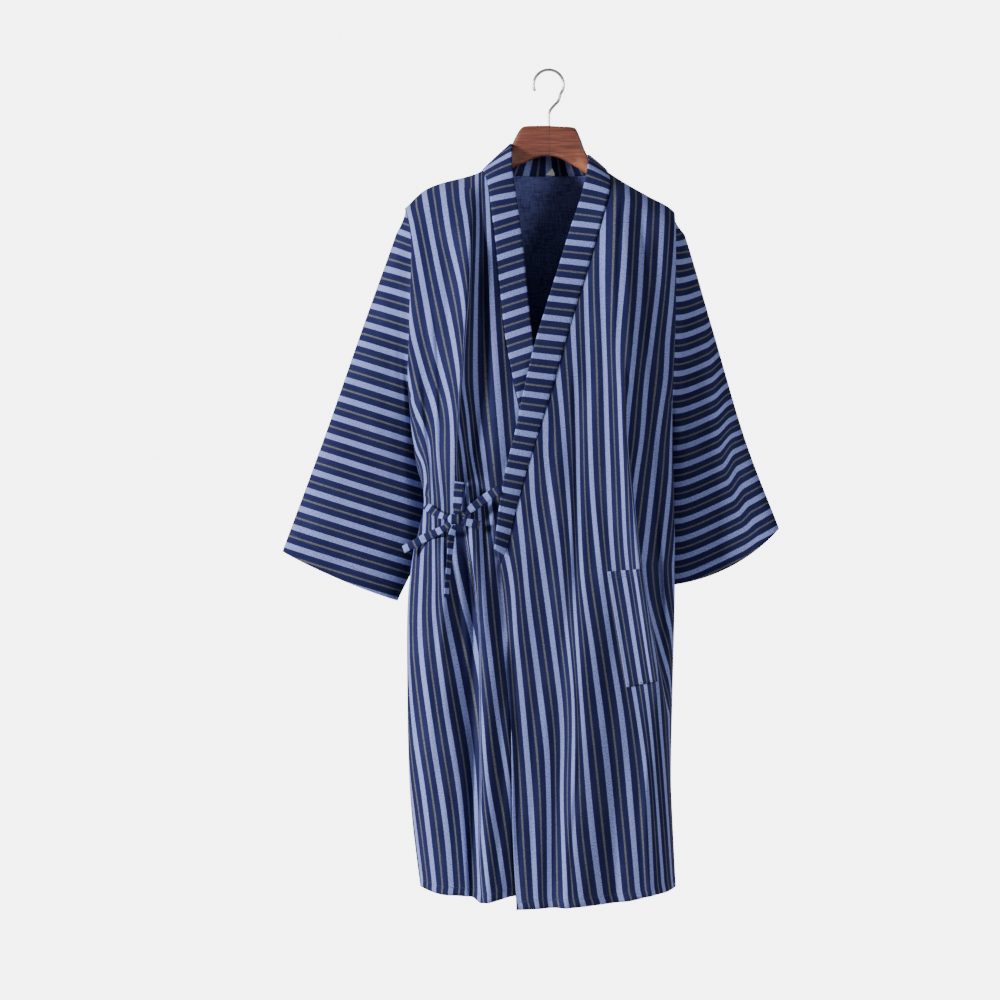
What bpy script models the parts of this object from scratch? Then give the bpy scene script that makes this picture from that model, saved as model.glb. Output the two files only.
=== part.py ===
"""Kimono robe on a wooden hanger: cut panels, sleeves, collar band, pocket, tied bow.

All sizes are millimetres. x runs to the viewer's right, y runs away from the viewer,
and "drop" is the distance below the inside top of the hanger's hook, so z = -drop.
"Right" and "left" in the names are the wearer's.
"""
import math

import bmesh
import bpy
from mathutils import Vector

MM = 0.001
SEAM_GAP = 0.3          # space left between two pieces that are sewn together
CLOTH = 1.5             # wall of a cloth panel
BAND_WALL = 3.0         # the collar band is folded cloth, several layers
BAND_PROUD = 0.8        # the band stands this far out from the panel it is sewn to
BAND_GAP = 0.5          # its own share of the space at the seam
STRAP_WALL = 1.8

# Body sections: distance below the hook, the two side seams, depth in front and behind.
BODY = [
    # drop, left_x, right_x, front, back
    (110, -214, 196, 29, 29),
    (150, -214, 196, 33, 32),
    (210, -215, 197, 42, 36),
    (300, -214, 197, 53, 40),
    (400, -217, 196, 60, 41),
    (500, -219, 193, 62, 40),
    (600, -209, 194, 60, 38),
    (670, -195, 196, 55, 35),
    (750, -211, 197, 58, 38),
    (825, -220, 197, 61, 40),
    (950, -221, 194, 65, 42),
    (1100, -218, 191, 67, 44),
    (1180, -212, 194, 67, 45),
    (1300, -197, 200, 66, 46),
]
# The line over the shoulders where the front turns into the back.
SHOULDER = [
    # x, drop
    (-226, 216), (-198, 189), (-174, 177), (-122, 163), (-104, 155), (-75, 129), (-58, 113),
    (0, 121), (64, 136), (89, 155), (118, 174), (155, 195), (191, 215), (211, 239),
]
# Where the collar band is sewn to the wearer's right (under) front.
UNDER_SEAM = [
    # drop, x
    (156, -103), (183, -94.5), (222, -90), (259, -85), (304, -80.5), (350, -76), (414, -69),
    (499, -53), (577, -32), (670, -7), (763, 22), (850, 34), (1000, 40), (1300, 42),
]
# The folded free edge of the band on that side.
UNDER_FOLD = [
    (118, -58), (146, -58), (177, -55), (208, -50), (256, -44), (298, -39), (335, -36),
    (367, -32.5), (408, -28), (499, -13), (577, 3), (670, 18), (752, 27),
]
# The same two lines on the wearer's left (over) front; below the tip it is the front edge.
OVER_SEAM = [
    (156, 91), (180, 95), (225, 85), (310, 60.5), (398, 33), (493, 5.5), (572, -18.5), (632, -37),
    (694, -54), (747, -66.6), (772, -75.5), (792, -73), (828, -69.5), (870, -65), (920, -65),
    (997, -59.5), (1060, -58), (1187, -56), (1300, -51),
]
OVER_FOLD = [
    (132, 63), (161, 59), (183, 54), (215, 45), (246.5, 34), (304, 16.5), (366, -3), (429, -22),
    (505, -40), (564, -52), (591, -59), (625, -67), (654, -73), (699, -79), (745, -84), (764, -85),
]
HEM_UNDER = [(-199, 1271), (-169, 1279), (-122, 1282), (-104, 1288), (-60, 1279), (42, 1268)]
HEM_OVER = [(-51, 1299), (-14, 1297), (40, 1293), (118, 1287), (157, 1279), (200, 1271)]
HEM_BACK = [(-199, 1271), (-120, 1277), (0, 1281), (120, 1278), (200, 1271)]

# Folds: a line (drop, x of the crest), widths to the left and right foot, and the rise.
UNDER_FOLDS = [
    # name, crest line, left_width, right_width, rise
    ("chest_roll", [(190, -124), (500, -124), (645, -152)], 62, 22, 15),
    ("band_side", [(230, -96), (560, -84), (760, -88)], 10, 24, 6),
    ("hip_roll", [(700, -170), (950, -182), (1150, -176)], 34, 74, 15),
    ("skirt_ridge", [(760, -106), (900, -99), (1290, -104)], 15, 52, 13),
]
OVER_FOLDS = [
    ("chest_roll", [(230, 114), (375, 120), (577, 125), (794, 149), (950, 167)], 62, 31, 21),
    ("skirt_ridge", [(820, 60), (949, 52), (1026, 54), (1212, 40), (1290, 36)], 40, 58, 23),
    ("side_skirt", [(1010, 172), (1290, 176)], 44, 24, 15),
    ("pocket_valley", [(730, 163), (850, 171), (960, 176)], 14, 13, -17),
    ("front_edge", [(800, -52), (1290, -36)], 16, 34, 5),
]
BACK_FOLDS = [
    ("left_blade", [(230, -120), (700, -104), (1000, -110)], 52, 44, 13),
    ("right_blade", [(260, 96), (720, 84), (980, 96)], 48, 56, 12),
    ("left_skirt", [(760, -150), (1290, -140)], 46, 54, 13),
    ("middle_skirt", [(640, -18), (1290, -6)], 50, 46, 14),
    ("right_skirt", [(820, 132), (1290, 128)], 40, 44, 12),
]

ARMHOLES = {
    # side: top drop, bottom drop, half depth
    "left": (208, 505, 34),
    "right": (222, 515, 33),
}
SHOULDER_ROUND = 40     # height over which the cloth turns down from the shoulder line
SIDE_POWER = 2.4        # how square the body's section is
SHOULDER_POWER = 3.4    # squarer where the hanger's thick ends fill it
SIDE_TIE_PULL = 14      # the tied bow draws the under front in by this much


def along(points, at, column=1):
    """Smooth curve through table rows, read at one value of their first column."""
    if at <= points[0][0]:
        return points[0][column]
    if at >= points[-1][0]:
        return points[-1][column]
    index = 0
    while points[index + 1][0] < at:
        index += 1
    before = points[max(index - 1, 0)]
    start = points[index]
    end = points[index + 1]
    after = points[min(index + 2, len(points) - 1)]
    span = end[0] - start[0]
    part = (at - start[0]) / span
    slope_in = (end[column] - before[column]) / (end[0] - before[0]) * span
    slope_out = (after[column] - start[column]) / (after[0] - start[0]) * span
    p2 = part * part
    p3 = p2 * part
    return ((2 * p3 - 3 * p2 + 1) * start[column] + (p3 - 2 * p2 + part) * slope_in
            + (3 * p2 - 2 * p3) * end[column] + (p3 - p2) * slope_out)


def mix(first, second, part):
    return first + (second - first) * part


def ease(value, low, high):
    """0 below low, 1 above high, smooth between."""
    part = min(max((value - low) / (high - low), 0.0), 1.0)
    return part * part * (3 - 2 * part)


def rounding(distance):
    """Share of the full depth reached this far below the shoulder line."""
    part = 1 - min(max(distance / SHOULDER_ROUND, 0.0), 1.0)
    return math.sqrt(1 - part * part)


def armhole_half(side, drop):
    top, bottom, depth = ARMHOLES[side]
    middle = (top + bottom) / 2
    offset = (drop - middle) / ((bottom - top) / 2)
    if abs(offset) >= 1:
        return 0.0
    return depth * math.sqrt(1 - offset * offset)


def folds(table, x, drop):
    total = 0.0
    for name, crest, left_width, right_width, rise in table:
        top = crest[0][0]
        bottom = crest[-1][0]
        if drop < top - 70 or drop > bottom + 90:
            continue
        fade = ease(drop, top - 70, top + 90)
        if bottom < 1200:
            fade *= 1 - ease(drop, bottom - 90, bottom + 90)
        offset = x - along(crest, drop)
        offset /= left_width if offset < 0 else right_width
        if abs(offset) < 1:
            total += rise * fade * (1 - offset * offset) ** 2
    return total


def side_share(x, drop, limit):
    """Section of the body between its side seams, with room for the armholes."""
    left_x = along(BODY, drop, 1)
    right_x = along(BODY, drop, 2)
    middle = (left_x + right_x) / 2
    across = min(abs(x - middle) / ((right_x - left_x) / 2), 1.0)
    power = mix(SHOULDER_POWER, SIDE_POWER, ease(drop, 240, 440))
    section = (1 - across ** power) ** (1 / power)
    hole = armhole_half("left" if x < middle else "right", drop)
    return hole + (limit - hole) * section, section


def under_out(x, drop):
    """How far the under front stands out towards the viewer."""
    limit = along(BODY, drop, 3)
    depth, section = side_share(x, drop, limit)
    over_edge = along(OVER_FOLD, drop) if drop < 764 else along(OVER_SEAM, drop)
    hidden = ease(x, over_edge - 4, over_edge + 34) * ease(drop, 260, 400)
    pull = SIDE_TIE_PULL * math.exp(-((x + 176) / 36) ** 2 - ((drop - 684) / 60) ** 2)
    relief = folds(UNDER_FOLDS, x, drop) * min(section * 2.2, 1.0)
    depth += relief * (1 - hidden) - 9 * hidden - pull * section
    return rounding(drop - along(SHOULDER, x)) * depth


def over_out(x, drop):
    """How far the over front stands out; it always clears the under front."""
    limit = along(BODY, drop, 3)
    depth, section = side_share(x, drop, limit)
    depth += folds(OVER_FOLDS, x, drop) * min(section * 2.2, 1.0)
    depth *= rounding(drop - along(SHOULDER, x))
    clear = 5.5 * (1 - ease(x, 60, 110)) * ease(drop, 170, 330)
    floor = under_out(x, drop) + clear
    if x > 110 or drop < 200:
        return depth
    return (depth + floor + math.sqrt((depth - floor) ** 2 + 4)) / 2


NECK_LEFT = -103.0
NECK_RIGHT = 91.0
NECK_DEPTH = 33.0
NECK_DIP = 3.0


def neck_share(x):
    middle = (NECK_LEFT + NECK_RIGHT) / 2
    across = (x - middle) / ((NECK_RIGHT - NECK_LEFT) / 2)
    return max(1 - across * across, 0.0) ** 0.55


def back_top(x):
    """Top edge of the back: the shoulder line, and the neck curve between."""
    if NECK_LEFT < x < NECK_RIGHT:
        ends = mix(155.5, 156.0, (x - NECK_LEFT) / (NECK_RIGHT - NECK_LEFT))
        return ends + NECK_DIP * neck_share(x)
    return along(SHOULDER, x)


def back_out(x, drop):
    limit = along(BODY, drop, 4)
    depth, section = side_share(x, drop, limit)
    depth += folds(BACK_FOLDS, x, drop) * min(section * 2.2, 1.0)
    start = NECK_DEPTH * neck_share(x)
    return mix(start, depth, rounding(drop - back_top(x)))


def point(x, y, drop):
    return Vector((x, y, -drop))


def add_mesh(name, verts, faces):
    mesh = bpy.data.meshes.new(name)
    mesh.from_pydata([vert * MM for vert in verts], [], faces)
    work = bmesh.new()
    work.from_mesh(mesh)
    bmesh.ops.recalc_face_normals(work, faces=work.faces)
    if work.calc_volume(signed=True) < 0:
        bmesh.ops.reverse_faces(work, faces=work.faces)
    work.to_mesh(mesh)
    work.free()
    piece = bpy.data.objects.new(name, mesh)
    bpy.context.scene.collection.objects.link(piece)
    return piece


def grid_normals(rows, wrap, outward):
    """Unit normals of a grid of points, all turned to the given side."""
    height = len(rows)
    width = len(rows[0])
    normals = []
    for r in range(height):
        line = []
        for c in range(width):
            down = rows[min(r + 1, height - 1)][c] - rows[max(r - 1, 0)][c]
            if wrap:
                side = rows[r][(c + 1) % width] - rows[r][(c - 1) % width]
            else:
                side = rows[r][min(c + 1, width - 1)] - rows[r][max(c - 1, 0)]
            normal = side.cross(down)
            if normal.length < 1e-9:
                normal = line[-1].copy() if line else Vector((0, -1, 0))
            line.append(normal.normalized())
        normals.append(line)
    middle = normals[height // 2][width // 2]
    if middle.dot(outward(rows[height // 2][width // 2])) < 0:
        normals = [[-normal for normal in line] for line in normals]
    return normals


def wall(name, rows, thickness, outward, wrap=False, keep=0):
    """Closed thin wall: the rows are its outer face, the inner one is set back.

    keep is -1 or 1 for a panel that must stay in front of or behind the side seams.
    """
    height = len(rows)
    width = len(rows[0])
    normals = grid_normals(rows, wrap, outward)
    verts = []
    for side in (0, 1):
        for r in range(height):
            for c in range(width):
                spot = rows[r][c] - normals[r][c] * thickness * side
                if keep and spot.y * keep < SEAM_GAP / 2:
                    spot.y = keep * SEAM_GAP / 2
                verts.append(spot)
    layer = height * width
    columns = width if wrap else width - 1
    faces = []
    for r in range(height - 1):
        for c in range(columns):
            a = r * width + c
            b = r * width + (c + 1) % width
            d = a + width
            e = b + width
            faces.append((a, b, e, d))
            faces.append((layer + a, layer + d, layer + e, layer + b))
    for c in range(columns):
        for r in (0, height - 1):
            a = r * width + c
            b = r * width + (c + 1) % width
            faces.append((a, layer + a, layer + b, b))
    if not wrap:
        for r in range(height - 1):
            for c in (0, width - 1):
                a = r * width + c
                d = a + width
                faces.append((a, d, layer + d, layer + a))
    return add_mesh(name, verts, faces)


def even(line, count):
    """Put points at equal steps along a line of points."""
    marks = [0.0]
    for first, second in zip(line, line[1:]):
        marks.append(marks[-1] + (second - first).length)
    result = []
    index = 0
    for step in range(count):
        goal = marks[-1] * step / (count - 1)
        while index < len(line) - 2 and marks[index + 1] < goal:
            index += 1
        span = marks[index + 1] - marks[index]
        part = (goal - marks[index]) / span if span > 0 else 0.0
        result.append(line[index].lerp(line[index + 1], min(part, 1.0)))
    return result


# Rows of a body panel: close together over the shoulder, then even to the hem.
ROW_STEPS = [0.0, 0.0012, 0.005, 0.011, 0.02, 0.034, 0.055]
ROW_STEPS += [0.055 + 0.945 * step / 23 for step in range(1, 24)]


def panel_rows(side_x, inner_x, top, hem, out, facing, columns):
    """Rows from the side seam to the inner edge, even along the cloth."""
    rows = []
    for share in ROW_STEPS:
        side_top = top(side_x(210))
        side_drop = mix(side_top, hem(side_x(1271)), share)
        inner_top = top(inner_x(156))
        inner_drop = mix(inner_top, hem(inner_x(1290)), share)
        start_x = side_x(side_drop)
        end_x = inner_x(inner_drop)
        dense = []
        for step in range(121):
            part = step / 120
            turn = (1 - math.cos(math.pi * part)) / 2
            part = mix(turn, part, 0.35)
            x = mix(start_x, end_x, part)
            top_x = mix(side_x(210), inner_x(156), part)
            hem_x = mix(side_x(1271), inner_x(1290), part)
            drop = mix(top(top_x), hem(hem_x), share)
            depth = max(out(x, drop), SEAM_GAP / 2)
            dense.append(point(x, facing * depth, drop))
        rows.append(even(dense, columns))
    return rows


def left_side(drop):
    return along(BODY, drop, 1)


def right_side(drop):
    return along(BODY, drop, 2)


def toward_viewer(place):
    return Vector((0, -1, 0))


def away_from_viewer(place):
    return Vector((0, 1, 0))


def shoulder_drop(x):
    return along(SHOULDER, x)


def build_panels():
    under = panel_rows(
        left_side, lambda drop: along(UNDER_SEAM, drop) - SEAM_GAP, shoulder_drop,
        lambda x: along(HEM_UNDER, x), under_out, -1, 22)
    wall("front_right", under, CLOTH, toward_viewer, keep=-1)
    over = panel_rows(
        right_side, lambda drop: along(OVER_SEAM, drop) + SEAM_GAP, shoulder_drop,
        lambda x: along(HEM_OVER, x), over_out, -1, 25)
    wall("front_left", over, CLOTH, toward_viewer, keep=-1)
    back = panel_rows(
        left_side, right_side, back_top, lambda x: along(HEM_BACK, x), back_out, 1, 30)
    wall("back", back, CLOTH, away_from_viewer, keep=1)


# Sleeves: the outer edge from the shoulder to the cuff, the under edge behind the body.
SLEEVE_RIGHT_OUTER = [
    # share, x, y, drop
    (0.0, -215.4, 0, 208), (0.12, -243, 2, 272), (0.35, -290, 6, 398), (0.7, -353, 12, 577),
    (1.0, -417, 16, 750),
]
SLEEVE_RIGHT_INNER = [
    (0.0, -221, 0, 505), (0.06, -223, 8, 524), (0.14, -220, 22, 552), (0.3, -200, 36, 612),
    (0.55, -193, 38, 690), (0.8, -206, 36, 760), (1.0, -237, 30, 828),
]
SLEEVE_LEFT_OUTER = [
    (0.0, 197.4, 0, 222), (0.1, 215, 2, 262), (0.35, 256, 8, 400), (0.7, 309, 15, 577),
    (1.0, 362, 20, 714),
]
SLEEVE_LEFT_INNER = [
    (0.0, 195, 0, 515), (0.06, 197, 9, 534), (0.13, 196, 22, 556), (0.3, 186, 40, 612),
    (0.55, 177, 47, 686),
    (0.8, 173, 48, 752), (1.0, 174, 47, 806),
]
SLEEVE_RINGS = 15
SLEEVE_AROUND = 26


def build_sleeve(name, side, outer, inner, side_x, out_sign, cuff_depth, bow):
    top, bottom, hole_depth = ARMHOLES[side]
    rings = []
    for ring in range(SLEEVE_RINGS):
        share = (ring / (SLEEVE_RINGS - 1)) ** 1.15
        start = Vector([along(outer, share, column) for column in (1, 2, 3)])
        end = Vector([along(inner, share, column) for column in (1, 2, 3)])
        line = end - start
        down = Vector((out_sign * abs(line.z), 0, abs(line.x))).normalized()
        opened = ease(share, 0.0, 0.45)
        ring_points = []
        for step in range(SLEEVE_AROUND):
            angle = 2 * math.pi * (step + 0.5) / SLEEVE_AROUND
            across = (1 - math.cos(angle)) / 2
            spot = start + line * across
            spot += down * bow * share * 4 * across * (1 - across)
            drop = mix(top, bottom, across)
            hole = armhole_half(side, drop) * rounding(drop - top)
            tube = mix(hole_depth, cuff_depth, share) * abs(math.sin(angle)) ** 0.85
            half = mix(hole, tube, opened)
            x = mix(side_x(drop) + out_sign * 1.1, spot.x, min(share * 12, 1.0))
            front = -1 if math.sin(angle) > 0 else 1
            ring_points.append(point(x, spot.y + front * half, spot.z))
        rings.append(ring_points)
    centre = [sum((p for p in ring), Vector()) / SLEEVE_AROUND for ring in rings]
    middle = centre[SLEEVE_RINGS // 2]
    return wall(name, rings, CLOTH, lambda place: place - middle, wrap=True)


# The neck part of the collar band, from the under side's shoulder round the back.
NECK_BAND = [
    # seam x, y, drop, folded edge x, y, drop
    (-103, 0, 155.5, -58.5, 3, 113),
    (-93, 16, 156.6, -57, 15, 114),
    (-70, 26.5, 157.8, -47, 23, 116),
    (-38, 31.5, 158.6, -26, 27, 117),
    (-6, 33, 158.9, -5, 28, 118),
    (26, 31.5, 158.8, 17, 27, 119),
    (58, 26.5, 158, 40, 23.5, 123),
    (82, 16, 157, 58, 15, 128),
    (91, 0, 156, 63, 3, 131),
]


# Sections of the band down one front: where its seam is and where its folded edge is.
BAND_STEPS = [
    # seam drop, folded edge drop under, folded edge drop over
    (156.8, 116, 133), (158.5, 119, 136), (162, 124, 140), (168, 132, 146), (178, 146, 158),
    (194, 170, 179), (216, 200, 204), (240, 228, 230),
]
BAND_STEPS += [(260 + 24.7 * step, 251 + 24.7 * step, 251 + 24.7 * step) for step in range(21)]


def band_sections():
    """Seam and folded edge points from the over tip, round the neck, to the under end."""
    under = []
    over = []
    for seam_drop, under_drop, over_drop in BAND_STEPS:
        seam_x = along(UNDER_SEAM, seam_drop)
        fold_x = along(UNDER_FOLD, min(under_drop, 752))
        under.append((point(seam_x, -under_out(seam_x, seam_drop), seam_drop),
                      point(fold_x, -under_out(fold_x, under_drop), under_drop)))
        seam_x = along(OVER_SEAM, seam_drop)
        fold_x = along(OVER_FOLD, over_drop)
        over.append((point(seam_x, -over_out(seam_x, seam_drop), seam_drop),
                     point(fold_x, -over_out(fold_x, over_drop), over_drop)))
    neck = []
    for seam_x, seam_y, seam_drop, fold_x, fold_y, fold_drop in NECK_BAND:
        neck.append((point(seam_x, seam_y, seam_drop), point(fold_x, fold_y, fold_drop)))
    return over[::-1] + neck[::-1] + under


def build_collar():
    sections = band_sections()
    rows = []
    for seam, fold in sections:
        width = fold - seam
        gap = BAND_GAP + 0.8 * (1 - min(abs(seam.y) / 12, 1.0))
        start = gap / width.length
        rows.append([seam + width * part for part in (start, 0.5, 1.0)])
    normals = grid_normals(rows, False, toward_viewer)
    if normals[3][1].y > 0:
        normals = [[-normal for normal in line] for line in normals]
    moved = [[spot + normal * BAND_PROUD for spot, normal in zip(*pair)]
             for pair in zip(rows, normals)]
    piece = wall("collar_band", moved, BAND_WALL, toward_viewer)
    return piece


def build_pocket():
    """Patch on the over front, made from that front's points moved out."""
    corner_top_left = (88.5, 780)
    corner_top_right = (141, 775)
    corner_bottom_left = (118, 958)
    corner_bottom_right = (166, 948)
    rows = []
    for r in range(15):
        down = r / 14
        line = []
        for c in range(9):
            across = c / 8
            x = mix(mix(corner_top_left[0], corner_bottom_left[0], down),
                    mix(corner_top_right[0], corner_bottom_right[0], down), across)
            drop = mix(mix(corner_top_left[1], corner_bottom_left[1], down),
                       mix(corner_top_right[1], corner_bottom_right[1], down), across)
            line.append(point(x, -over_out(x, drop), drop))
        rows.append(line)
    normals = grid_normals(rows, False, toward_viewer)
    outer = [[spot + normal * 3.9 for spot, normal in zip(*pair)] for pair in zip(rows, normals)]
    wall("pocket", outer, 1.4, toward_viewer)


def ribbon(name, stations, across=None, thickness=STRAP_WALL):
    """Strap through stations of (point, half width, turn in degrees)."""
    rows = []
    for index, (spot, half, turn) in enumerate(stations):
        ahead = stations[min(index + 1, len(stations) - 1)][0]
        behind = stations[max(index - 1, 0)][0]
        run = (ahead - behind).normalized()
        side = across.copy() if across else run.cross(Vector((0, -1, 0)))
        side = (side - run * side.dot(run)).normalized()
        lift = side.cross(run)
        angle = math.radians(turn)
        side = side * math.cos(angle) + lift * math.sin(angle)
        rows.append([spot - side * half, spot + lift * 0.3, spot + side * half])
    first = grid_normals(rows, False, toward_viewer)[len(rows) // 2][1]
    wall(name, rows, thickness, lambda place: first)


KNOT = (-147, 699)
KNOT_SIZE = (10, 7.5, 10)


def smooth_stations(stations, count):
    """Resample (point, half, turn) rows smoothly."""
    table = []
    for index, (spot, half, turn) in enumerate(stations):
        table.append((index, spot.x, spot.y, spot.z, half, turn))
    result = []
    for step in range(count):
        at = (len(table) - 1) * step / (count - 1)
        values = [along(table, at, column) for column in range(1, 6)]
        result.append((Vector(values[:3]), values[3], values[4]))
    return result


def on_front(x, drop, lift):
    return point(x, -under_out(x, drop) - lift, drop)


def knot_exit(centre, direction, gap=0.4):
    """Where a strap leaves the knot, just clear of its surface."""
    run = Vector(direction).normalized()
    reach = KNOT_SIZE[0]
    for step in range(8):
        waist = knot_waist(reach * run.x / KNOT_SIZE[0])
        reach = 1 / math.sqrt((run.x / KNOT_SIZE[0]) ** 2 + (run.y / (KNOT_SIZE[1] * waist)) ** 2
                              + (run.z / (KNOT_SIZE[2] * waist)) ** 2)
    return centre + run * (reach + gap)


def knot_waist(share):
    return 1 - 0.16 * math.exp(-(share * 3.2) ** 2)


def build_ties():
    knot_x, knot_drop = KNOT
    centre = on_front(knot_x, knot_drop, 10.5)
    work = bmesh.new()
    bmesh.ops.create_uvsphere(work, u_segments=16, v_segments=10, radius=1)
    for vert in work.verts:
        place = vert.co
        waist = knot_waist(place.x)
        vert.co = Vector((place.x * KNOT_SIZE[0], place.y * KNOT_SIZE[1] * waist,
                          place.z * KNOT_SIZE[2] * waist)) + centre
        vert.co *= MM
    mesh = bpy.data.meshes.new("bow_knot")
    work.to_mesh(mesh)
    work.free()
    bpy.context.scene.collection.objects.link(bpy.data.objects.new("bow_knot", mesh))

    front_tie = [
        (on_front(-75.7, 653, 6.2), 6.8, 0), (on_front(-80, 655, 6.4), 7, 0),
        (on_front(-97, 666, 6.8), 7, 0), (on_front(-117, 680, 8), 6.6, 0),
        (knot_exit(centre, (0.86, -0.1, 0.5)), 4.5, 0),
    ]
    ribbon("tie_front", smooth_stations(front_tie, 11))
    side_tie = [
        (on_front(-189.5, 688.5, 7.4), 6.3, 0), (on_front(-181, 693, 8), 6.5, 0),
        (on_front(-170, 697.5, 9), 5.5, 0), (knot_exit(centre, (-1, 0, 0.14), 1.2), 3.8, 0),
    ]
    ribbon("tie_side", smooth_stations(side_tie, 9))
    up_loop = [
        (knot_exit(centre, (0.16, -0.42, 1), 0.7), 4, 0), (centre + Vector((3, -7, 22)), 6.5, 0),
        (centre + Vector((5, -7.5, 41)), 7.5, 0), (centre + Vector((6.5, -5, 54)), 7.5, 0),
        (centre + Vector((7, -1, 57)), 7.5, 0), (centre + Vector((6.5, 2, 53)), 7.5, 0),
        (centre + Vector((5, 2.2, 38)), 7, 0), (centre + Vector((3, 1.6, 22)), 6, 0),
        (knot_exit(centre, (0.16, 0.08, 1), 0.8), 4, 0),
    ]
    ribbon("bow_loop_up", smooth_stations(up_loop, 25), across=Vector((1, 0, -0.12)),
           thickness=1.4)
    side_loop = [
        (knot_exit(centre, (1, -0.42, -0.26), 0.6), 3.5, 0), (centre + Vector((20, -6.5, -5)), 5.5, 0),
        (centre + Vector((32, -5.5, -8)), 6, 0), (centre + Vector((37.5, -2.5, -9)), 6, 0),
        (centre + Vector((36, 0.6, -8.6)), 6, 0), (centre + Vector((22, 1.4, -5.6)), 5.5, 0),
        (knot_exit(centre, (1, 0.06, -0.26)), 3.5, 0),
    ]
    ribbon("bow_loop_side", smooth_stations(side_loop, 21), across=Vector((0.2, 0, 1)),
           thickness=1.4)
    left_tail = [
        (knot_exit(centre, (-0.74, -0.2, -0.7), 1.0), 4.2, 0), (on_front(-167, 716, 10), 5.6, 4),
        (on_front(-190, 727, 9), 6.5, -6), (point(-208, -34, 737), 6.5, -18),
        (point(-226, -31, 746), 6.5, -30),
    ]
    ribbon("tail_left", smooth_stations(left_tail, 13))
    down_tail = [
        (knot_exit(centre, (0.0, -0.16, -1), 1.9), 3.6, 0), (on_front(-150.5, 724, 11), 5.4, 20),
        (on_front(-153, 758, 9.5), 6, 50), (on_front(-156, 790, 9.5), 6, 58),
        (on_front(-158, 818, 9.5), 5.5, 50),
    ]
    ribbon("tail_down", smooth_stations(down_tail, 15))


def build_label():
    """Small blank label that stands up from the back neck seam, against the band."""
    rows = []
    for r in range(5):
        up = r / 4
        line = []
        for c in range(5):
            x = mix(mix(-4, 12, c / 4), 4.5 + 2 * (c / 4), up)
            drop = mix(156.6 + 1.6 * (c / 4), 148.5, up)
            line.append(point(x, mix(31.0, 30.3, up), drop))
        rows.append(line)
    wall("neck_label", rows, 0.8, toward_viewer)


HANGER_LIFT = 1.9       # brings the wood up to the cloth that rests on it
# Hanger sections along its length: top and bottom drop, half thickness.
HANGER = [
    # x, top, bottom, half_thickness
    (-196, 199, 209, 7), (-190, 193.5, 215, 12.5), (-176, 184, 214, 17), (-150, 176.5, 206, 18),
    (-122, 169.5, 198, 16), (-103, 162, 189, 12.5), (-92, 156, 180, 11), (-80, 142, 172, 10.5),
    (-66, 128.5, 163, 10.5),
    (-58, 120, 158, 10.5), (-53, 111, 155.5, 10), (-46, 99, 152.5, 9.5), (-38, 92.5, 149.5, 9),
    (-18, 91.5, 141.5, 9), (0, 91.5, 139, 9), (18, 92.5, 143, 9), (36, 93.5, 152.5, 9),
    (43, 97, 156.5, 9), (50, 112, 160.5, 9.5), (57, 130, 165, 10), (66, 143, 170, 11),
    (86, 159, 183, 12.5), (110, 174.5, 199, 15), (138, 191, 216, 17), (162, 205, 230, 17),
    (176, 213.5, 234, 13), (182, 219, 231, 7),
]


def build_hanger():
    rings = []
    for x, top, bottom, half in HANGER:
        ring = []
        for step in range(14):
            angle = 2 * math.pi * step / 14
            lift = math.cos(angle)
            side = math.sin(angle)
            lift = math.copysign(abs(lift) ** 0.8, lift)
            side = math.copysign(abs(side) ** 0.8, side)
            ring.append(point(x, half * side, mix(top, bottom, (1 - lift) / 2) - HANGER_LIFT))
        rings.append(ring)
    verts = [spot for ring in rings for spot in ring]
    faces = []
    for r in range(len(rings) - 1):
        for c in range(14):
            d = (c + 1) % 14
            faces.append((r * 14 + c, r * 14 + d, r * 14 + 14 + d, r * 14 + 14 + c))
    faces.append(tuple(range(14)))
    faces.append(tuple(range((len(rings) - 1) * 14, len(rings) * 14)))
    add_mesh("hanger", verts, faces)


HOOK_WIRE = 2.25
HOOK_RADIUS = 23.5


def build_hook():
    """Wire from the wood, an S bend to the right, then round over the top."""
    centre_drop = HOOK_RADIUS - HOOK_WIRE
    path = [(0, 89.2), (0, 84), (0, 76), (0.2, 69), (2.2, 61.5), (8, 54), (15, 46.5)]
    for step in range(15):
        angle = math.radians(-38 + (205 + 38) * step / 14)
        path.append((HOOK_RADIUS * math.cos(angle), centre_drop - HOOK_RADIUS * math.sin(angle)))
    sides = 8
    verts = []
    for index, (x, drop) in enumerate(path):
        ahead = path[min(index + 1, len(path) - 1)]
        behind = path[max(index - 1, 0)]
        run = Vector((ahead[0] - behind[0], 0, behind[1] - ahead[1])).normalized()
        side = run.cross(Vector((0, 1, 0)))
        radius = HOOK_WIRE * (0.7 if index == len(path) - 1 else 1)
        for step in range(sides):
            angle = 2 * math.pi * step / sides
            verts.append(point(x, 0, drop) + side * math.cos(angle) * radius
                         + Vector((0, 1, 0)) * math.sin(angle) * radius)
    faces = []
    for r in range(len(path) - 1):
        for c in range(sides):
            d = (c + 1) % sides
            faces.append((r * sides + c, r * sides + d, (r + 1) * sides + d, (r + 1) * sides + c))
    faces.append(tuple(range(sides)))
    faces.append(tuple(range((len(path) - 1) * sides, len(path) * sides)))
    add_mesh("hook", verts, faces)


for old in list(bpy.data.objects):
    bpy.data.objects.remove(old, do_unlink=True)

build_panels()
build_sleeve("sleeve_right", "left", SLEEVE_RIGHT_OUTER, SLEEVE_RIGHT_INNER, left_side, -1, 26, 4)
build_sleeve("sleeve_left", "right", SLEEVE_LEFT_OUTER, SLEEVE_LEFT_INNER, right_side, 1, 25, 20)
build_collar()
build_pocket()
build_ties()
build_label()
build_hanger()
build_hook()
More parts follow.
